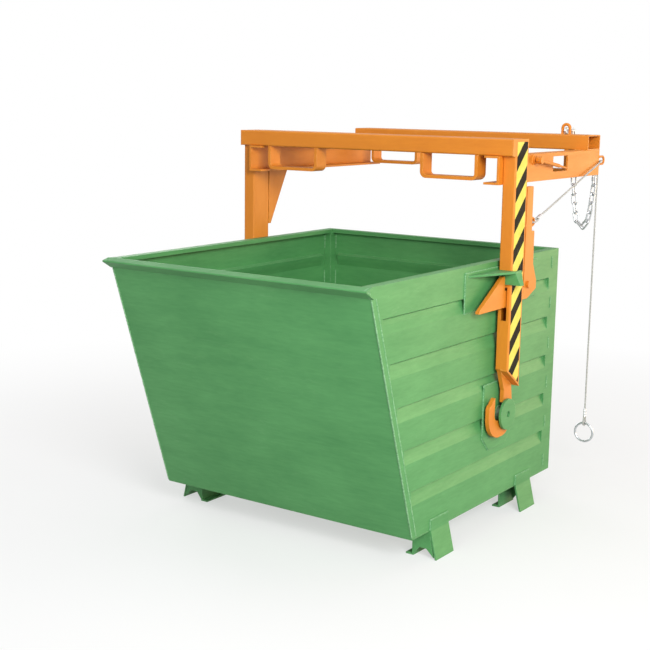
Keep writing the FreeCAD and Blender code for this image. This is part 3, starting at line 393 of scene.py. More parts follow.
def striped_tape():
    """Yellow and black hazard tape: the stripes climb at 45 degrees and the film is a little rubbed."""
    material, tree, shader = new_material("hazard_tape", colour(0.85, 0.75, 0.12))
    flat = put(tree, "ShaderNodeUVMap", uv_map="tape").outputs[0]
    parts = put(tree, "ShaderNodeSeparateXYZ", {0: flat}).outputs
    slope = calc(tree, "SUBTRACT", parts["Y"], parts["X"])
    climb = calc(tree, "SUBTRACT", slope, STRIPE_START)
    turn = calc(tree, "FRACT", calc(tree, "DIVIDE", climb, STRIPE_PITCH))
    black = calc(tree, "SUBTRACT", 1.0, spread(tree, turn, STRIPE_SHARE, STRIPE_SHARE + STRIPE_EDGE))
    mottle = spread(tree, noise(tree, object_place(tree), 22.0, 5.0, 0.6), 0.3, 0.7)
    yellow = blend_colour(tree, mottle, colour(0.70, 0.61, 0.10), colour(0.77, 0.70, 0.16))
    dark = blend_colour(tree, mottle, colour(0.008, 0.007, 0.005), colour(0.016, 0.013, 0.009))
    rub = use_group(tree, SCRATCHES, {"Stretch": UPRIGHT, "Scale": 60.0, "Amount": 0.35})["Mask"]
    base = blend_colour(tree, black, yellow, dark)
    join(tree, blend_colour(tree, rub, base, colour(0.55, 0.50, 0.30)), shader, "Base Color")
    join(tree, spread(tree, mottle, 0.0, 1.0, 0.72, 0.62), shader, "Roughness")
    shader.inputs["Specular IOR Level"].default_value = 0.08
    return material


tape_film = striped_tape()


def braided_fibre():
    """Pale braided cord: each strand is a bundle of fine yarn that runs along it, with painted shade in
    the grooves between the yarns.
    """
    material, tree, shader = new_material("braided_fibre", colour(0.74, 0.74, 0.70))
    along = put(tree, "ShaderNodeUVMap", uv_map="strand").outputs[0]
    yarn = put(
        tree, "ShaderNodeTexWave",
        {"Vector": along, "Scale": 1.0, "Distortion": 1.4, "Detail": 2.0, "Detail Scale": 1.0},
        bands_direction="Y",
    )
    grime = spread(tree, noise(tree, object_place(tree), 30.0, 4.0, 0.6), 0.4, 0.75)
    # The yarn pattern darkens the grooves between yarns, where the bump is low: painted shade
    base = blend_colour(tree, yarn.outputs["Fac"], colour(0.40, 0.40, 0.38), colour(0.62, 0.62, 0.59))
    base = blend_colour(tree, calc(tree, "MULTIPLY", grime, 0.4), base, colour(0.30, 0.28, 0.25))
    join(tree, base, shader, "Base Color")
    join(tree, spread(tree, grime, 0.0, 1.0, 0.62, 0.8), shader, "Roughness")
    bump = put(
        tree, "ShaderNodeBump", {"Strength": 0.5, "Distance": 0.0003, "Height": yarn.outputs["Fac"]}
    )
    join(tree, bump.outputs[0], shader, "Normal")
    return material


cord_fibre = braided_fibre()

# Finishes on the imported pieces


def finish_piece(name, material):
    mesh = nodes[name].data
    mesh.materials.clear()
    mesh.materials.append(material)


BY_MATERIAL = {
    skip_across: ["front_wall", "back_wall", "floor_sheet"],
    skip_along: [
        "{side}_side_wall", "{side}_corner_strip", "{side}_corner_post", "{side}_front_foot",
        "{side}_rear_foot", "{side}_trunnion_doubler", "{side}_trunnion_disc", "{side}_catch_pad",
        "{side}_catch_bracket",
    ],
    frame_across: ["front_beam", "rear_beam", "{side}_front_fork_strap", "{side}_rear_fork_strap"],
    frame_along: ["{side}_link_channel", "tommy_bar", "latch_hook"],
    frame_upright: [
        "{side}_arm_tube", "{side}_arm_end_plate", "{side}_trunnion_hook", "{side}_beam_cap",
        "left_arm_gusset", "release_lever", "lever_ear", "lever_ring", "cord_eye", "chain_bow",
        "screw_nut", "clamp_screw", "lever_bolt",
    ],
    pin_steel: ["{side}_trunnion_pin", "latch_pin"],
    chain_zinc: ["safety_chain", "chain_quick_link", "pull_ring"],
    crimp_metal: ["lever_cord_clamp", "pull_cord_clamp"],
    cord_fibre: ["lever_cord_loop", "pull_cord_loop", "release_cord_taut", "release_cord_hang"],
}
for material, names in BY_MATERIAL.items():
    for name in names:
        for side in ("right", "left"):
            finish_piece(name.format(side=side), material)

# Release cord: one smooth line on the route's points, cut where the pull turns into the hanging stretch

UP = Vector((0, 0, 1))
TO_BACK = Vector((0, 1, 0))

CORD = 0.008
HITCH = Vector((0.587, 0.193, 1.130))
EYE_ENTRY = Vector((0.569, 0.838, 1.329))
OVER_LEG = Vector((0.558, 0.858, 1.332))
PAST_LEG = Vector((0.545, 0.858, 1.317))
BELOW_LEG = Vector((0.545, 0.86133, 1.277))
CORD_END = Vector((0.545, 0.86133, 0.277))
LOOP = 0.030
CLAMP = 0.034
STRAIGHT_CORDS = 6
PULL = (EYE_ENTRY - HITCH).normalized()
TAUT_START = HITCH + PULL * (LOOP + CLAMP)
NEAR_EYE = EYE_ENTRY - PULL * CORD * STRAIGHT_CORDS
UNDER_EYE = BELOW_LEG - Vector((0, 0, CORD * STRAIGHT_CORDS))


def add_spline(curve, kind, points):
    spline = curve.splines.new(kind)
    spline.points.add(len(points) - 1)
    for spot, place in zip(spline.points, points):
        spot.co = (*place, 1.0)
    return spline


def smooth_line(points):
    """Points read from one open NURBS spline that has the given points as its control points."""
    curve = bpy.data.curves.new("cord_line", "CURVE")
    curve.dimensions = "3D"
    curve.resolution_u = 48
    spline = add_spline(curve, "NURBS", points)
    spline.order_u = 3
    spline.use_endpoint_u = True
    holder = bpy.data.objects.new("cord_line", curve)
    mesh = bpy.data.meshes.new_from_object(holder)
    line = np.array([vertex.co for vertex in mesh.vertices], float)
    bpy.data.meshes.remove(mesh)
    bpy.data.objects.remove(holder)
    bpy.data.curves.remove(curve)
    return line


def lengths_along(line):
    return np.concatenate([[0.0], np.cumsum(np.linalg.norm(np.diff(line, axis=0), axis=1))])


def frames_along(line):
    """Two directions square to the line at each point, carried along without twist."""
    heading = np.gradient(line, axis=0)
    heading /= np.linalg.norm(heading, axis=1)[:, None]
    side = np.zeros_like(line)
    start = np.array((1.0, 0.0, 0.0))
    if abs(heading[0][0]) > 0.9:
        start = np.array((0.0, 1.0, 0.0))
    for number, ahead in enumerate(heading):
        start = start - ahead * np.dot(start, ahead)
        start = start / np.linalg.norm(start)
        side[number] = start
    return side, np.cross(heading, side)


def new_object(name, mesh):
    piece = bpy.data.objects.new(name, mesh)
    scene.collection.objects.link(piece)
    return piece


def new_mesh(name, points, faces=(), material=None, smooth=False):
    mesh = bpy.data.meshes.new(name)
    mesh.from_pydata([tuple(point) for point in points], [], faces)
    if smooth:
        mesh.polygons.foreach_set("use_smooth", np.ones(len(faces), bool))
    if material:
        mesh.materials.append(material)
    mesh.update()
    return mesh


def lay_map(mesh, name, spots):
    """A map of the mesh's surface, with one spot for each face corner."""
    layer = mesh.uv_layers.new(name=name)
    layer.data.foreach_set("uv", np.array(spots, np.float32).ravel())


def tube_faces(first, rings, corners):
    """The sides of a tube made of rings of points, and then its two ends."""
    faces = []
    for low in range(first, first + (rings - 1) * corners, corners):
        for k in range(corners):
            after = (k + 1) % corners
            faces.append((low + k, low + after, low + corners + after, low + corners + k))
    last = first + (rings - 1) * corners
    faces.append(tuple(first + k for k in reversed(range(corners))))
    faces.append(tuple(last + k for k in range(corners)))
    return faces


MILLIMETRES = 1000
STRAND_CORNERS = 6
YARN_TURNS = 4.0


def strands_mesh(lines, radii):
    """Closed round strands along the given lines, with a map of millimetres along and yarns around."""
    points, faces, spots = [], [], []
    around = np.arange(STRAND_CORNERS) * 2 * math.pi / STRAND_CORNERS
    for line, radius in zip(lines, radii):
        faces.extend(tube_faces(len(points), len(line), STRAND_CORNERS))
        side, lift = frames_along(line)
        for place, out, high in zip(line, side, lift):
            points.extend(place + radius * (math.cos(a) * out + math.sin(a) * high) for a in around)
        along = lengths_along(line) * MILLIMETRES
        for u0, u1 in zip(along, along[1:]):
            for k in range(STRAND_CORNERS):
                v0, v1 = k / STRAND_CORNERS * YARN_TURNS, (k + 1) / STRAND_CORNERS * YARN_TURNS
                spots.extend(((u0, v0), (u0, v1), (u1, v1), (u1, v0)))
        spots.extend(((0, 0),) * (STRAND_CORNERS * 2))
    mesh = new_mesh("strands", points, faces, cord_fibre, smooth=True)
    lay_map(mesh, "strand", spots)
    return mesh


BRAID_PITCH = 0.026
BRAID_STEP = 0.0016
STRANDS_EACH_WAY = 4
STRAND = 0.00122
STRAND_RING = 0.00226
STRAND_WEAVE = 0.00050
CORE = 0.0026


def braid(name, line, offset=0.0):
    """Eight strands braided over a core, four each way round, over one and under the next."""
    along = lengths_along(line)
    count = max(8, int(round(along[-1] / BRAID_STEP)) + 1)
    at = np.linspace(0, along[-1], count)
    middle = np.stack([np.interp(at, along, line[:, k]) for k in range(3)], axis=1)
    side, lift = frames_along(middle)
    turn = (at + offset) / BRAID_PITCH * 2 * math.pi
    lines, radii = [], []
    for way in (1, -1):
        for strand in range(STRANDS_EACH_WAY):
            angle = way * turn + strand * math.pi / 2
            weave = np.cos(STRANDS_EACH_WAY * turn + strand * math.pi)
            ring = (STRAND_RING + way * STRAND_WEAVE * weave)[:, None]
            outward = np.cos(angle)[:, None] * side + np.sin(angle)[:, None] * lift
            lines.append(middle + ring * outward)
            radii.append(STRAND)
    lines.append(middle)
    radii.append(CORE)
    return new_object(name, strands_mesh(lines, radii)), middle


cord_route = smooth_line(
    [TAUT_START, NEAR_EYE, EYE_ENTRY, OVER_LEG, PAST_LEG, BELOW_LEG, UNDER_EYE, CORD_END]
)
taut_box_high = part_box("release_cord_taut")[1]
split = int(np.argmax(cord_route[:, 1] > taut_box_high.y))
taut_line, hang_line = cord_route[: split + 1], cord_route[split:]
taut_length = float(lengths_along(taut_line)[-1])
taut_cord, taut_path = braid("release_cord_pull", taut_line)
hang_cord, hang_path = braid("release_cord_tail", hang_line, taut_length)

LOOP_FIT = 0.001
LOOP_TUCK = 0.004
LEVER_RING_BAR = 0.008
PULL_RING_BAR = 0.010


def loop_line(held, heading, sideways, bar):
    """The cord's eye round a bar and back into its clamp."""
    reach = bar / 2 + CORD / 2 + LOOP_FIT
    apart = CORD / 2 + LOOP_FIT
    tucked = LOOP + LOOP_TUCK
    spots = [
        (tucked, apart), (reach * 1.1, reach * 1.12), (-reach * 0.55, reach * 1.10),
        (-reach * 1.14, 0.0),
        (-reach * 0.55, -reach * 1.10), (reach * 1.1, -reach * 1.12), (tucked, -apart),
    ]
    return smooth_line([held + heading * a + sideways * b for a, b in spots])


ACROSS_PULL = (Vector((1, 0, 0)) - PULL * PULL.x).normalized()
lever_loop, _ = braid("lever_cord_eye", loop_line(HITCH, PULL, ACROSS_PULL, LEVER_RING_BAR))
ring_top = CORD_END - Vector((0, 0, CLAMP + LOOP))
pull_loop, _ = braid("pull_cord_eye", loop_line(ring_top, UP, TO_BACK, PULL_RING_BAR))

SLEEVE_RINGS = 41
SLEEVE_CORNERS = 24
SLEEVE_PRESSES = 3
# Across the sleeve's wide and thin way: half its size, how deep it is pressed, and its mouth's draw
SLEEVE_WIDE, PRESS_WIDE, MOUTH_WIDE = 0.0086, 0.0009, 0.0010
SLEEVE_THIN, PRESS_THIN, MOUTH_THIN = 0.0064, 0.0013, 0.0012
MOUTH_SHARE = 0.06
PRESS_FROM, PRESS_TO = 0.08, 0.92


def crimp_sleeve(name, base, heading, wide):
    """An oval sleeve pressed on the cord in three places, drawn in at its mouths."""
    thin = heading.cross(wide)
    points = []
    for share in np.linspace(0, 1, SLEEVE_RINGS):
        press = 0.0
        if PRESS_FROM < share < PRESS_TO:
            press = max(0.0, math.sin(share * math.pi * 2 * SLEEVE_PRESSES - math.pi / 2))
        mouth = max(0.0, 1 - min(share, 1 - share) / MOUTH_SHARE)
        half_wide = SLEEVE_WIDE - PRESS_WIDE * press - MOUTH_WIDE * mouth
        half_thin = SLEEVE_THIN - PRESS_THIN * press - MOUTH_THIN * mouth
        middle = base + heading * (CLAMP * share)
        for k in range(SLEEVE_CORNERS):
            a = 2 * math.pi * k / SLEEVE_CORNERS
            points.append(middle + wide * half_wide * math.cos(a) + thin * half_thin * math.sin(a))
    faces = tube_faces(0, SLEEVE_RINGS, SLEEVE_CORNERS)
    return new_object(name, new_mesh(name, points, faces, crimp_metal, smooth=True))


lever_crimp = crimp_sleeve("lever_cord_crimp", HITCH + PULL * LOOP, PULL, ACROSS_PULL)
pull_crimp = crimp_sleeve("pull_cord_crimp", ring_top + UP * LOOP, UP, TO_BACK)

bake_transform(taut_cord)
for piece, body, node in (
    (hang_cord, "traverse", "release_cord_hang"), (pull_loop, "traverse", "pull_cord_loop"),
    (pull_crimp, "traverse", "pull_cord_clamp"), (lever_loop, "lever", "lever_cord_loop"),
    (lever_crimp, "lever", "lever_cord_clamp"),
):
    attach(piece, body)
    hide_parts(node)
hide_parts("release_cord_taut")

# Safety chain: round links and a screw link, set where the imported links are


def geometry_tree(name, inputs):
    """A geometry node tree with named inputs, which takes and gives geometry."""
    tree = bpy.data.node_groups.new(name, "GeometryNodeTree")
    tree.interface.new_socket("Geometry", in_out="INPUT", socket_type="NodeSocketGeometry")
    kinds = {"length": "NodeSocketFloat", "count": "NodeSocketInt", "material": "NodeSocketMaterial"}
    for label, kind in inputs:
        tree.interface.new_socket(label, in_out="INPUT", socket_type=kinds[kind])
    tree.interface.new_socket("Geometry", in_out="OUTPUT", socket_type="NodeSocketGeometry")
    return tree, put(tree, "NodeGroupInput").outputs, put(tree, "NodeGroupOutput").inputs


def end_tree(tree, instances, material, result, smooth=False):
    """Ends a tree: the instances are made real and get their material."""
    real = put(tree, "GeometryNodeRealizeInstances", {0: instances}).outputs[0]
    if smooth:
        real = put(tree, "GeometryNodeSetShadeSmooth", {"Geometry": real}).outputs[0]
    dressed = put(tree, "GeometryNodeSetMaterial", {"Geometry": real, "Material": material})
    tree.links.new(dressed.outputs[0], result["Geometry"])


def made_plain(source, tree, values, name):
    """The tree's result on the source as a plain mesh object of its own."""
    modifier = source.modifiers.new(tree.name, "NODES")
    modifier.node_group = tree
    for socket in tree.interface.items_tree:
        if socket.in_out == "INPUT" and socket.name in values:
            modifier[socket.identifier] = values[socket.name]
    bpy.context.view_layer.update()
    seen = source.evaluated_get(bpy.context.evaluated_depsgraph_get())
    mesh = bpy.data.meshes.new_from_object(seen)
    source.modifiers.remove(modifier)
    data = source.data
    bpy.data.objects.remove(source)
    (bpy.data.curves if isinstance(data, bpy.types.Curve) else bpy.data.meshes).remove(data)
    mesh.name = name
    return new_object(name, mesh)


# A bend that falls just short of half the link's width, so that its ends keep a short straight
BEND_SHARE = 0.499


def chain_links():
    """Round bar bent to a link, with a collar on one leg, set on each point and turned as it says."""
    tree, given, result = geometry_tree(
        "chain_links",
        [
            ("Link Length", "length"), ("Link Width", "length"), ("Bar Radius", "length"),
            ("Collar Radius", "length"), ("Collar Length", "length"), ("Collar Sides", "count"),
            ("Material", "material"),
        ],
    )
    path = put(
        tree, "GeometryNodeCurvePrimitiveQuadrilateral",
        {"Width": given["Link Length"], "Height": given["Link Width"]},
    )
    bend = calc(tree, "MULTIPLY", given["Link Width"], BEND_SHARE)
    bent = put(
        tree, "GeometryNodeFilletCurve",
        {"Curve": path.outputs[0], "Count": 8, "Radius": bend, "Limit Radius": True}, mode="POLY",
    )
    section = put(
        tree, "GeometryNodeCurvePrimitiveCircle", {"Resolution": 12, "Radius": given["Bar Radius"]}
    )
    bar = put(
        tree, "GeometryNodeCurveToMesh", {"Curve": bent.outputs[0], "Profile Curve": section.outputs[0]}
    )
    collar = put(
        tree, "GeometryNodeMeshCylinder",
        {
            "Vertices": given["Collar Sides"], "Side Segments": 3, "Radius": given["Collar Radius"],
            "Depth": given["Collar Length"],
        },
    )
    leg = put(tree, "ShaderNodeCombineXYZ", {"Y": calc(tree, "MULTIPLY", given["Link Width"], 0.5)})
    placed = put(
        tree, "GeometryNodeTransform",
        {"Geometry": collar.outputs[0], "Translation": leg.outputs[0], "Rotation": (0, math.pi / 2, 0)},
    )
    smooth = put(tree, "GeometryNodeSetShadeSmooth", {"Geometry": bar.outputs[0]})
    link = put(tree, "GeometryNodeJoinGeometry")
    tree.links.new(smooth.outputs[0], link.inputs[0])
    tree.links.new(placed.outputs[0], link.inputs[0])
    turn = put(tree, "GeometryNodeInputNamedAttribute", {"Name": "turn"}, data_type="QUATERNION")
    chain = put(
        tree, "GeometryNodeInstanceOnPoints",
        {"Points": given["Geometry"], "Instance": link.outputs[0], "Rotation": turn.outputs[0]},
    )
    end_tree(tree, chain.outputs[0], given["Material"], result)
    return tree


def link_places(name):
    """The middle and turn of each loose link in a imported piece: long way, width, and thickness last."""
    mesh = nodes[name].data
    spots = np.array([vertex.co for vertex in mesh.vertices], float)
    keys = {}
    same = np.array([keys.setdefault(tuple(np.round(p, 6)), len(keys)) for p in spots])
    parent = list(range(len(keys)))

    def root(item):
        while parent[item] != item:
            parent[item] = parent[parent[item]]
            item = parent[item]
        return item

    for face in mesh.polygons:
        corners = [root(same[v]) for v in face.vertices]
        for corner in corners[1:]:
            parent[root(corner)] = root(corners[0])
    single = np.array(list(keys))
    groups = {}
    for number in range(len(single)):
        groups.setdefault(root(number), []).append(number)
    places = []
    for members in groups.values():
        centre = single[members].mean(0)
        cloud = single[members] - centre
        axes = np.linalg.eigh(np.cov(cloud.T))[1]
        heading, thick = Vector(axes[:, 2]), Vector(axes[:, 0])
        ways = (heading, thick.cross(heading), thick)
        shift = Vector((0, 0, 0))
        for way in ways:
            span = cloud @ np.array(way)
            shift += way * float((span.min() + span.max()) / 2)
        places.append((Vector(centre) + shift, Matrix(ways).transposed().to_quaternion()))
    return places


def points_with_turns(places):
    mesh = new_mesh("link_points", [middle for middle, _ in places])
    turns = mesh.attributes.new("turn", "QUATERNION", "POINT")
    for number, (_, turn) in enumerate(places):
        turns.data[number].value = turn
    return new_object("link_points", mesh)


LINKS = chain_links()
round_chain = made_plain(
    points_with_turns(link_places("safety_chain")), LINKS,
    {
        "Link Length": 0.048, "Link Width": 0.020, "Bar Radius": 0.004, "Collar Radius": 0.0044,
        "Collar Length": 0.006, "Collar Sides": 12, "Material": chain_zinc,
    },
    "safety_chain_links",
)
screw_link = made_plain(
    points_with_turns(link_places("chain_quick_link")), LINKS,
    {
        "Link Length": 0.061, "Link Width": 0.023, "Bar Radius": 0.004, "Collar Radius": 0.0066,
        "Collar Length": 0.018, "Collar Sides": 6, "Material": chain_zinc,
    },
    "chain_screw_link",
)
for piece, node in ((round_chain, "safety_chain"), (screw_link, "chain_quick_link")):
    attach(piece, "traverse")
    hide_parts(node)

# Hazard tape on the arms' outer faces, up over the beam's end

TAPE_THICK = 0.00025
TAPE_MARGIN = 0.010
TAPE_ROWS = 60
# The arm's slanted end: where its front is, its fall to the back, and the tape's room above it
ARM_FRONT, ARM_END = -0.025, 0.605
ARM_END_FALL = 0.070
ARM_END_SLOPE = 0.7
TAPE_END_ROOM = 0.004
arm_low, arm_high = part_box("right_arm_tube")
beam_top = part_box("front_beam")[1].z


def tape_strip(name, side):
    """A strip with square top and a foot cut along the arm's slanted end."""
    outer = arm_high.x * side
    front, back = arm_low.y + TAPE_MARGIN, arm_high.y - TAPE_MARGIN
    top = beam_top - TAPE_MARGIN
    slant = ARM_END_FALL / (arm_high.y - arm_low.y)
    foot_front = ARM_END - slant * TAPE_MARGIN + TAPE_END_ROOM
    foot_back = foot_front - slant * (back - front)
    points, faces = [], []
    for x in (outer, outer + TAPE_THICK * side):
        for row in range(TAPE_ROWS + 1):
            share = row / TAPE_ROWS
            points.append((x, front, foot_front + (top - foot_front) * share))
            points.append((x, back, foot_back + (top - foot_back) * share))
    outside = (TAPE_ROWS + 1) * 2
    for a in range(0, TAPE_ROWS * 2, 2):
        b = outside + a
        faces += [[b, b + 1, b + 3, b + 2], [a, a + 2, a + 3, a + 1]]
        faces += [[a, b, b + 2, a + 2], [a + 1, a + 3, b + 3, b + 1]]
    a, b = TAPE_ROWS * 2, outside + TAPE_ROWS * 2
    faces += [[0, 1, outside + 1, outside], [a, b, b + 1, a + 1]]
    if side < 0:
        faces = [face[::-1] for face in faces]
    mesh = new_mesh(name, points, faces, tape_film)
    lay_map(mesh, "tape", [points[corner][1:] for face in faces for corner in face])
    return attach(new_object(name, mesh), "traverse")


tape_strip("right_arm_tape", 1)
tape_strip("left_arm_tape", -1)

# Welds: rippled beads along the joints, laid by one tree on lines drawn for each body

# The random value node's least and most number and its result, by number: its labels repeat
RANDOM_LOW, RANDOM_HIGH, RANDOM_NUMBER = 2, 3, 1


def weld_beads():
    """Flat rounded ripples set close along every line, each a little different from the next."""
    tree, given, result = geometry_tree(
        "weld_beads",
        [
            ("Ripple Pitch", "length"), ("Bead Radius", "length"), ("Ripple Share", "length"),
            ("Unevenness", "length"), ("Seed", "count"), ("Material", "material"),
        ],
    )
    spots = put(
        tree, "GeometryNodeCurveToPoints",
        {"Curve": given["Geometry"], "Length": given["Ripple Pitch"]}, mode="LENGTH",
    )
    ripple = put(
        tree, "GeometryNodeMeshUVSphere", {"Segments": 8, "Rings": 4, "Radius": given["Bead Radius"]}
    )
    smallest = calc(tree, "SUBTRACT", 1.0, given["Unevenness"])
    largest = calc(tree, "ADD", 1.0, given["Unevenness"])
    size = put(
        tree, "FunctionNodeRandomValue",
        {RANDOM_LOW: smallest, RANDOM_HIGH: largest, "Seed": given["Seed"]}, data_type="FLOAT",
    ).outputs[RANDOM_NUMBER]
    shape = put(
        tree, "ShaderNodeCombineXYZ",
        {"X": size, "Y": size, "Z": calc(tree, "MULTIPLY", size, given["Ripple Share"])},
    )
    beads = put(
        tree, "GeometryNodeInstanceOnPoints",
        {
            "Points": spots.outputs["Points"], "Instance": ripple.outputs[0],
            "Rotation": spots.outputs["Rotation"], "Scale": shape.outputs[0],
        },
    )
    end_tree(tree, beads.outputs[0], given["Material"], result, smooth=True)
    return tree


def weld_lines(lines):
    """A curve object with one straight-sided spline for each line."""
    curve = bpy.data.curves.new("weld_lines", "CURVE")
    curve.dimensions = "3D"
    for points in lines:
        add_spline(curve, "POLY", points)
    return new_object("weld_lines", curve)


RING_STEPS = 24


def weld_ring(middle, radius, axis):
    """A closed round line about an axis through a middle point."""
    points = []
    for number in range(RING_STEPS + 1):
        turn = 2 * math.pi * number / RING_STEPS
        across, up = radius * math.cos(turn), radius * math.sin(turn)
        offset = {"x": (0, across, up), "y": (across, 0, up), "z": (across, up, 0)}[axis]
        points.append(tuple(m + o for m, o in zip(middle, offset)))
    return points


def stitches(start, end, bead, gap):
    """Short lines along one line, with gaps between them."""
    start, end = Vector(start), Vector(end)
    whole = (end - start).length
    count = max(1, int((whole + gap) / (bead + gap)))
    step = (whole - bead) / max(1, count - 1)
    ahead = (end - start).normalized()
    return [
        [start + ahead * step * number, start + ahead * (step * number + bead)]
        for number in range(count)
    ]


def line_across(x0, x1, y, z):
    return [(x0, y, z), (x1, y, z)]


def line_along(x, y0, y1, z):
    return [(x, y0, z), (x, y1, z)]


def line_up(x, y, z0, z1):
    return [(x, y, z0), (x, y, z1)]


def edge_box(name):
    low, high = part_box(name)
    return low.x, high.x, low.y, high.y, low.z, high.z


# The tub: its front edge and rim, the front wall's run for a metre of height, the side walls' outer
# and inner faces, the floor's upper face, and the back wall's inner face
TUB_FRONT, TUB_RIM = -0.860, 1.000
WEDGE = 0.332589
TUB_SIDE, TUB_INSIDE = 0.550, 0.5455
TUB_FLOOR = 0.1048
TUB_BACK = 0.5002
# How far a bead's line stands off the face, or the corner, that it lies on
BITE = 0.0012
SEAT = 0.0006
SKIP_BEAD, FRAME_BEAD, RING_BEAD = 0.0030, 0.0026, 0.0018
DOUBLER_CUT = 0.050
STRIP_WIDTH = 0.024
FOOT_LAP = 0.106
PIN_FOOT = (0.5572, 0.025, 0.430)
PIN_RING = 0.0262
LIP_END = 0.5485
SEAM_LOW, SEAM_HIGH, INNER_SEAM_HIGH = 0.112, 0.958, 0.98
FLOOR_SEAM, FLOOR_SEAM_BACK = 0.105, 0.4605
POST_BACK = 0.5003
REAR_LAP = (0.5504, 0.447)
# The frame: the links' ends at the beams, and the hook's face and width at the plate it leaves
LINK_ENDS = (0.0726, 0.7094)
HOOK_FACE, HOOK_ENDS, END_PLATE = 0.5826, (-0.016, 0.066), 0.008


def front_face(height):
    """Y of the sloped front wall's outer face at a height."""
    return TUB_FRONT + (TUB_RIM - height) * WEDGE


# Closed and open lines, in Y and Z, that fill the pouring lip's end
LIP_FILL = (
    ((-0.860, 0.998), (-0.886, 0.991), (-0.8505, 0.965), (-0.860, 0.998)),
    ((-0.8635, 0.992), (-0.8775, 0.987), (-0.8585, 0.974), (-0.8635, 0.992)),
    ((-0.870, 0.987), (-0.862, 0.982)),
)


def skip_weld_lines(side):
    """Joints of the skip on one side."""
    wall = side * TUB_SIDE
    out = wall + side * BITE
    inner = side * TUB_INSIDE
    _, _, y0, y1, z0, z1 = edge_box("right_catch_pad")
    lines = [[(out, y0, z0), (out, y1, z0), (out, y1, z1), (out, y0, z1), (out, y0, z0)]]
    _, _, y0, y1, z0, z1 = edge_box("right_trunnion_doubler")
    cut = z0 + DOUBLER_CUT
    lines.append(
        [
            (out, y0, cut), (out, y0 + DOUBLER_CUT, z0), (out, y1 - DOUBLER_CUT, z0), (out, y1, cut),
            (out, y1, z1), (out, y0, z1), (out, y0, cut),
        ]
    )
    lines.append(weld_ring((side * PIN_FOOT[0], *PIN_FOOT[1:]), PIN_RING, "x"))
    for name in ("right_front_foot", "right_rear_foot"):
        _, _, y0, y1, _, z1 = edge_box(name)
        lines.append([(out, y0, FOOT_LAP), (out, y0, z1), (out, y1, z1), (out, y1, FOOT_LAP)])
    # The corner strip's edge, the outer corner and the inner corner, all along the sloped front
    for x, off, high in (
        (out, STRIP_WIDTH, SEAM_HIGH), (wall, -0.0004, SEAM_HIGH), (inner, 0.0048, INNER_SEAM_HIGH),
    ):
        lines.append([(x, front_face(z) + off, z) for z in (SEAM_LOW, high)])
    lines.append(line_along(inner, front_face(FLOOR_SEAM) + 0.006, FLOOR_SEAM_BACK, TUB_FLOOR))
    for outline in LIP_FILL:
        lines.append([(side * LIP_END, y, z) for y, z in outline])
    _, _, post_front, _, _, post_top = edge_box("right_corner_post")
    post_face = edge_box("left_corner_post")[1]
    for x, y in ((inner, post_front - SEAT), (-side * post_face, POST_BACK)):
        lines += stitches(*line_up(x, y, 0.12, post_top - 0.01), 0.055, 0.095)
    lines += stitches(*line_up(side * REAR_LAP[0], REAR_LAP[1], 0.13, 0.97), 0.040, 0.114)
    return lines


def frame_weld_lines(side):
    """Joints of the tipping frame on one side."""
    x0, x1, y0, y1, _, z1 = edge_box("right_arm_tube")
    lines = []
    for y in (y0 - SEAT, y1 + SEAT):
        lines.append(line_across(side * (x0 + 0.003), side * (x1 - 0.004), y, z1 - SEAT))
    x0, x1, _, _, _, z1 = edge_box("right_link_channel")
    for y in LINK_ENDS:
        lines.append(line_across(side * (x0 + 0.003), side * (x1 - 0.003), y, z1 + SEAT))
    for name in ("right_front_fork_strap", "right_rear_fork_strap"):
        x0, x1, y0, y1, _, z1 = edge_box(name)
        for x in (x0 - SEAT, x1 + SEAT):
            lines.append(line_along(side * x, y0 + 0.004, y1 - 0.004, z1 - SEAT))
    # Along the slanted plate in the arm's end, where the hook leaves it
    hook_line = []
    for y in HOOK_ENDS:
        z = ARM_END - ARM_END_SLOPE * (y - ARM_FRONT) - END_PLATE
        hook_line.append((side * HOOK_FACE, y, z))
    lines.append(hook_line)
    return lines


WELDS = weld_beads()


def lay_welds(name, body, lines, radius, material, seed):
    """Beads on the lines as one piece that rides on a body."""
    piece = made_plain(
        weld_lines(lines), WELDS,
        {
            "Ripple Pitch": radius * 1.5, "Bead Radius": radius, "Ripple Share": 1.1, "Unevenness": 0.14,
            "Seed": seed, "Material": material,
        },
        name,
    )
    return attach(piece, body)


tub_welds = [
    line_across(-0.540, 0.540, TUB_BACK, TUB_FLOOR),
    line_across(-0.543, 0.543, front_face(FLOOR_SEAM) + 0.0052, TUB_FLOOR),
]
skip_welds = lay_welds(
    "skip_welds", "skip", skip_weld_lines(1) + skip_weld_lines(-1) + tub_welds, SKIP_BEAD, green_weld, 3
)
gusset = edge_box("left_arm_gusset")
gusset_y, gusset_foot = gusset[2] + 0.0008, gusset[4] + 0.004
SCREW_Y, SCREW_Z = 0.223, 1.354
# The gusset's two edges, the lever's ear, the cord eye, the chain bow and the screw's nut
frame_details = [
    line_up(gusset[0] - 0.0004, gusset_y, gusset_foot, 1.330),
    line_up(-0.5616, gusset_y, gusset_foot, 1.268),
    line_up(0.5702, 0.0756, 0.871, 0.929),
    *(weld_ring((0.558, 0.8308, z), 0.0052, "y") for z in (1.3165, 1.3475)),
    *(weld_ring((x, 0.770, 1.4366), 0.0068, "z") for x in (0.422, 0.454)),
    weld_ring((0.5626, SCREW_Y, SCREW_Z), 0.0174, "x"),
]
frame_welds = lay_welds(
    "frame_welds", "traverse", frame_weld_lines(1) + frame_weld_lines(-1) + frame_details, FRAME_BEAD,
    orange_weld, 5,
)
lever_welds = lay_welds(
    "lever_ring_welds", "lever",
    [weld_ring((0.587, 0.1676, z), 0.0044, "y") for z in (1.116, 1.144)],
    RING_BEAD, orange_weld, 7,
)

# Thread on the clamp screw's inner end


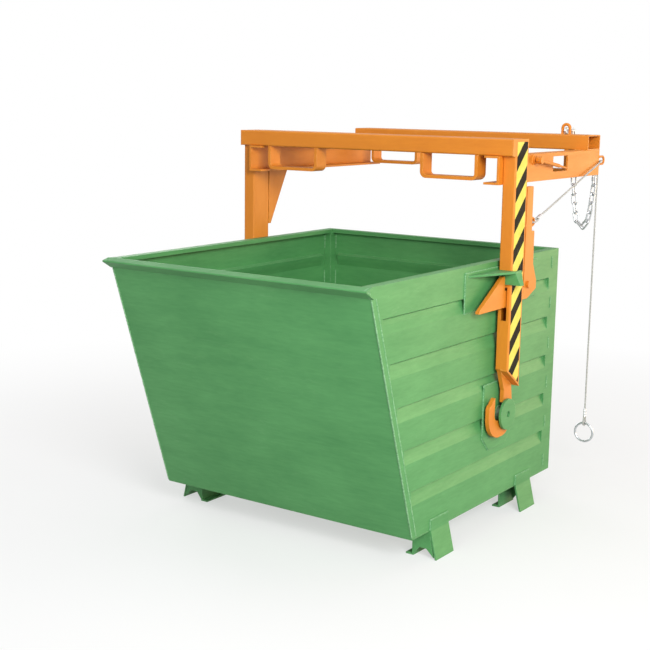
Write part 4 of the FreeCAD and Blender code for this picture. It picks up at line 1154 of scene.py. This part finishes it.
def screw_thread():
    """A helical ridge round a shank, along the tree's own upward axis."""
    tree, given, result = geometry_tree(
        "screw_thread",
        [
            ("Shank Radius", "length"), ("Thread Length", "length"), ("Turns", "length"),
            ("Ridge", "length"), ("Material", "material"),
        ],
    )
    spiral = put(
        tree, "GeometryNodeCurveSpiral",
        {
            "Resolution": 20, "Rotations": given["Turns"], "Start Radius": given["Shank Radius"],
            "End Radius": given["Shank Radius"], "Height": given["Thread Length"],
        },
    )
    ridge = put(tree, "GeometryNodeCurvePrimitiveCircle", {"Resolution": 4, "Radius": given["Ridge"]})
    swept = put(
        tree, "GeometryNodeCurveToMesh",
        {"Curve": spiral.outputs[0], "Profile Curve": ridge.outputs[0], "Fill Caps": True},
    )
    turned = put(
        tree, "GeometryNodeInstanceOnPoints",
        {"Points": given["Geometry"], "Instance": swept.outputs[0], "Rotation": (0, math.pi / 2, 0)},
    )
    end_tree(tree, turned.outputs[0], given["Material"], result)
    return tree


screw_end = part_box("clamp_screw")[0].x
thread_start = new_mesh("thread_start", [(screw_end + 0.001, SCREW_Y, SCREW_Z)])
thread = made_plain(
    new_object("thread_start", thread_start), screw_thread(),
    {
        "Shank Radius": 0.0098, "Thread Length": 0.050, "Turns": 20.0, "Ridge": 0.0010,
        "Material": pin_steel,
    },
    "clamp_screw_thread",
)
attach(thread, "screw")

# Studio: pale floor, white surround, soft lamps


def seen_ray(tree):
    """One for what the camera sees, straight or by a reflection, and nothing for other light."""
    path = put(tree, "ShaderNodeLightPath").outputs
    mirrored = calc(tree, "MAXIMUM", path["Is Glossy Ray"], path["Is Transmission Ray"])
    return calc(tree, "MAXIMUM", path["Is Camera Ray"], mirrored)


FLOOR_RADIUS = 60
FLOOR_SIDES = 96
FLOOR_LEVEL = -0.0004
WHITE = colour(1, 1, 1)


def pale_floor():
    """A wide disc that takes the shadow near the piece and fades to white further out."""
    material, tree, shader = new_material("studio_floor", colour(0.86, 0.86, 0.86))
    tree.nodes.remove(shader)
    place = object_place(tree)
    far = put(tree, "ShaderNodeVectorMath", {0: place}, operation="LENGTH").outputs["Value"]
    share = spread(tree, far, 0.6, 3.6, 0.55, 1.0)
    mottle = noise(tree, place, 3.0, 3.0, 0.5)
    tone = blend_colour(tree, mottle, colour(0.86, 0.86, 0.86), colour(0.89, 0.89, 0.89))
    seen = seen_ray(tree)
    tone = blend_colour(tree, seen, colour(0.52, 0.52, 0.52), tone)
    dull = put(tree, "ShaderNodeBsdfDiffuse", {"Color": tone})
    white = put(tree, "ShaderNodeEmission", {"Color": WHITE, "Strength": 1.0})
    fade = calc(tree, "MULTIPLY", share, seen)
    both = put(tree, "ShaderNodeMixShader", {0: fade, 1: dull.outputs[0], 2: white.outputs[0]})
    tree.links.new(both.outputs[0], tree.nodes["Material Output"].inputs["Surface"])
    points = [(0.0, 0.0, FLOOR_LEVEL)]
    for k in range(FLOOR_SIDES):
        turn = 2 * math.pi * k / FLOOR_SIDES
        points.append((FLOOR_RADIUS * math.cos(turn), FLOOR_RADIUS * math.sin(turn), FLOOR_LEVEL))
    faces = [(0, 1 + k, 1 + (k + 1) % FLOOR_SIDES) for k in range(FLOOR_SIDES)]
    new_object("studio_floor", new_mesh("studio_floor", points, faces, material))


def white_surround():
    """White where it is seen, and a soft glow for all other light."""
    world = bpy.data.worlds.new("studio_surround")
    scene.world = world
    world.use_nodes = True
    tree = world.node_tree
    height = put(tree, "ShaderNodeSeparateXYZ", {0: object_place(tree)}).outputs["Z"]
    glow = spread(tree, height, 0.0, 0.7, 0.32, 0.22)
    seen = seen_ray(tree)
    unseen = calc(tree, "SUBTRACT", 1.0, seen)
    strength = calc(tree, "ADD", seen, calc(tree, "MULTIPLY", unseen, glow))
    background = tree.nodes["Background"]
    background.inputs["Color"].default_value = WHITE
    tree.links.new(strength, background.inputs["Strength"])


def soft_lamp(name, place, target, wide, high, power, tint=(1.0, 1.0, 1.0)):
    """A flat lamp of a given size in metres and power in watts, turned to its target."""
    data = bpy.data.lights.new(name, "AREA")
    data.shape = "RECTANGLE"
    data.size = wide
    data.size_y = high
    data.energy = power
    data.color = tint
    lamp = bpy.data.objects.new(name, data)
    lamp.location = place
    lamp.rotation_mode = "QUATERNION"
    lamp.rotation_quaternion = (Vector(target) - Vector(place)).to_track_quat("-Z", "Y")
    scene.collection.objects.link(lamp)


pale_floor()
white_surround()
soft_lamp("key_soft", (4.3, -3.3, 2.9), (0.0, 0.0, 0.8), 2.6, 2.0, 325)
soft_lamp("front_soft", (0.8, -6.8, 2.7), (0.0, -0.3, 0.8), 4.5, 2.2, 106)
soft_lamp("glow_right_back", (3.9, 4.6, 0.9), (0.5, 0.0, 0.6), 5.0, 1.8, 165, (1.0, 0.74, 0.42))
soft_lamp("left_fill", (-4.8, 2.4, 2.0), (-0.3, 0.1, 0.8), 3.0, 2.0, 90)
soft_lamp("top_soft", (0.0, 0.2, 4.6), (0.0, 0.1, 0.6), 2.6, 2.6, 35)
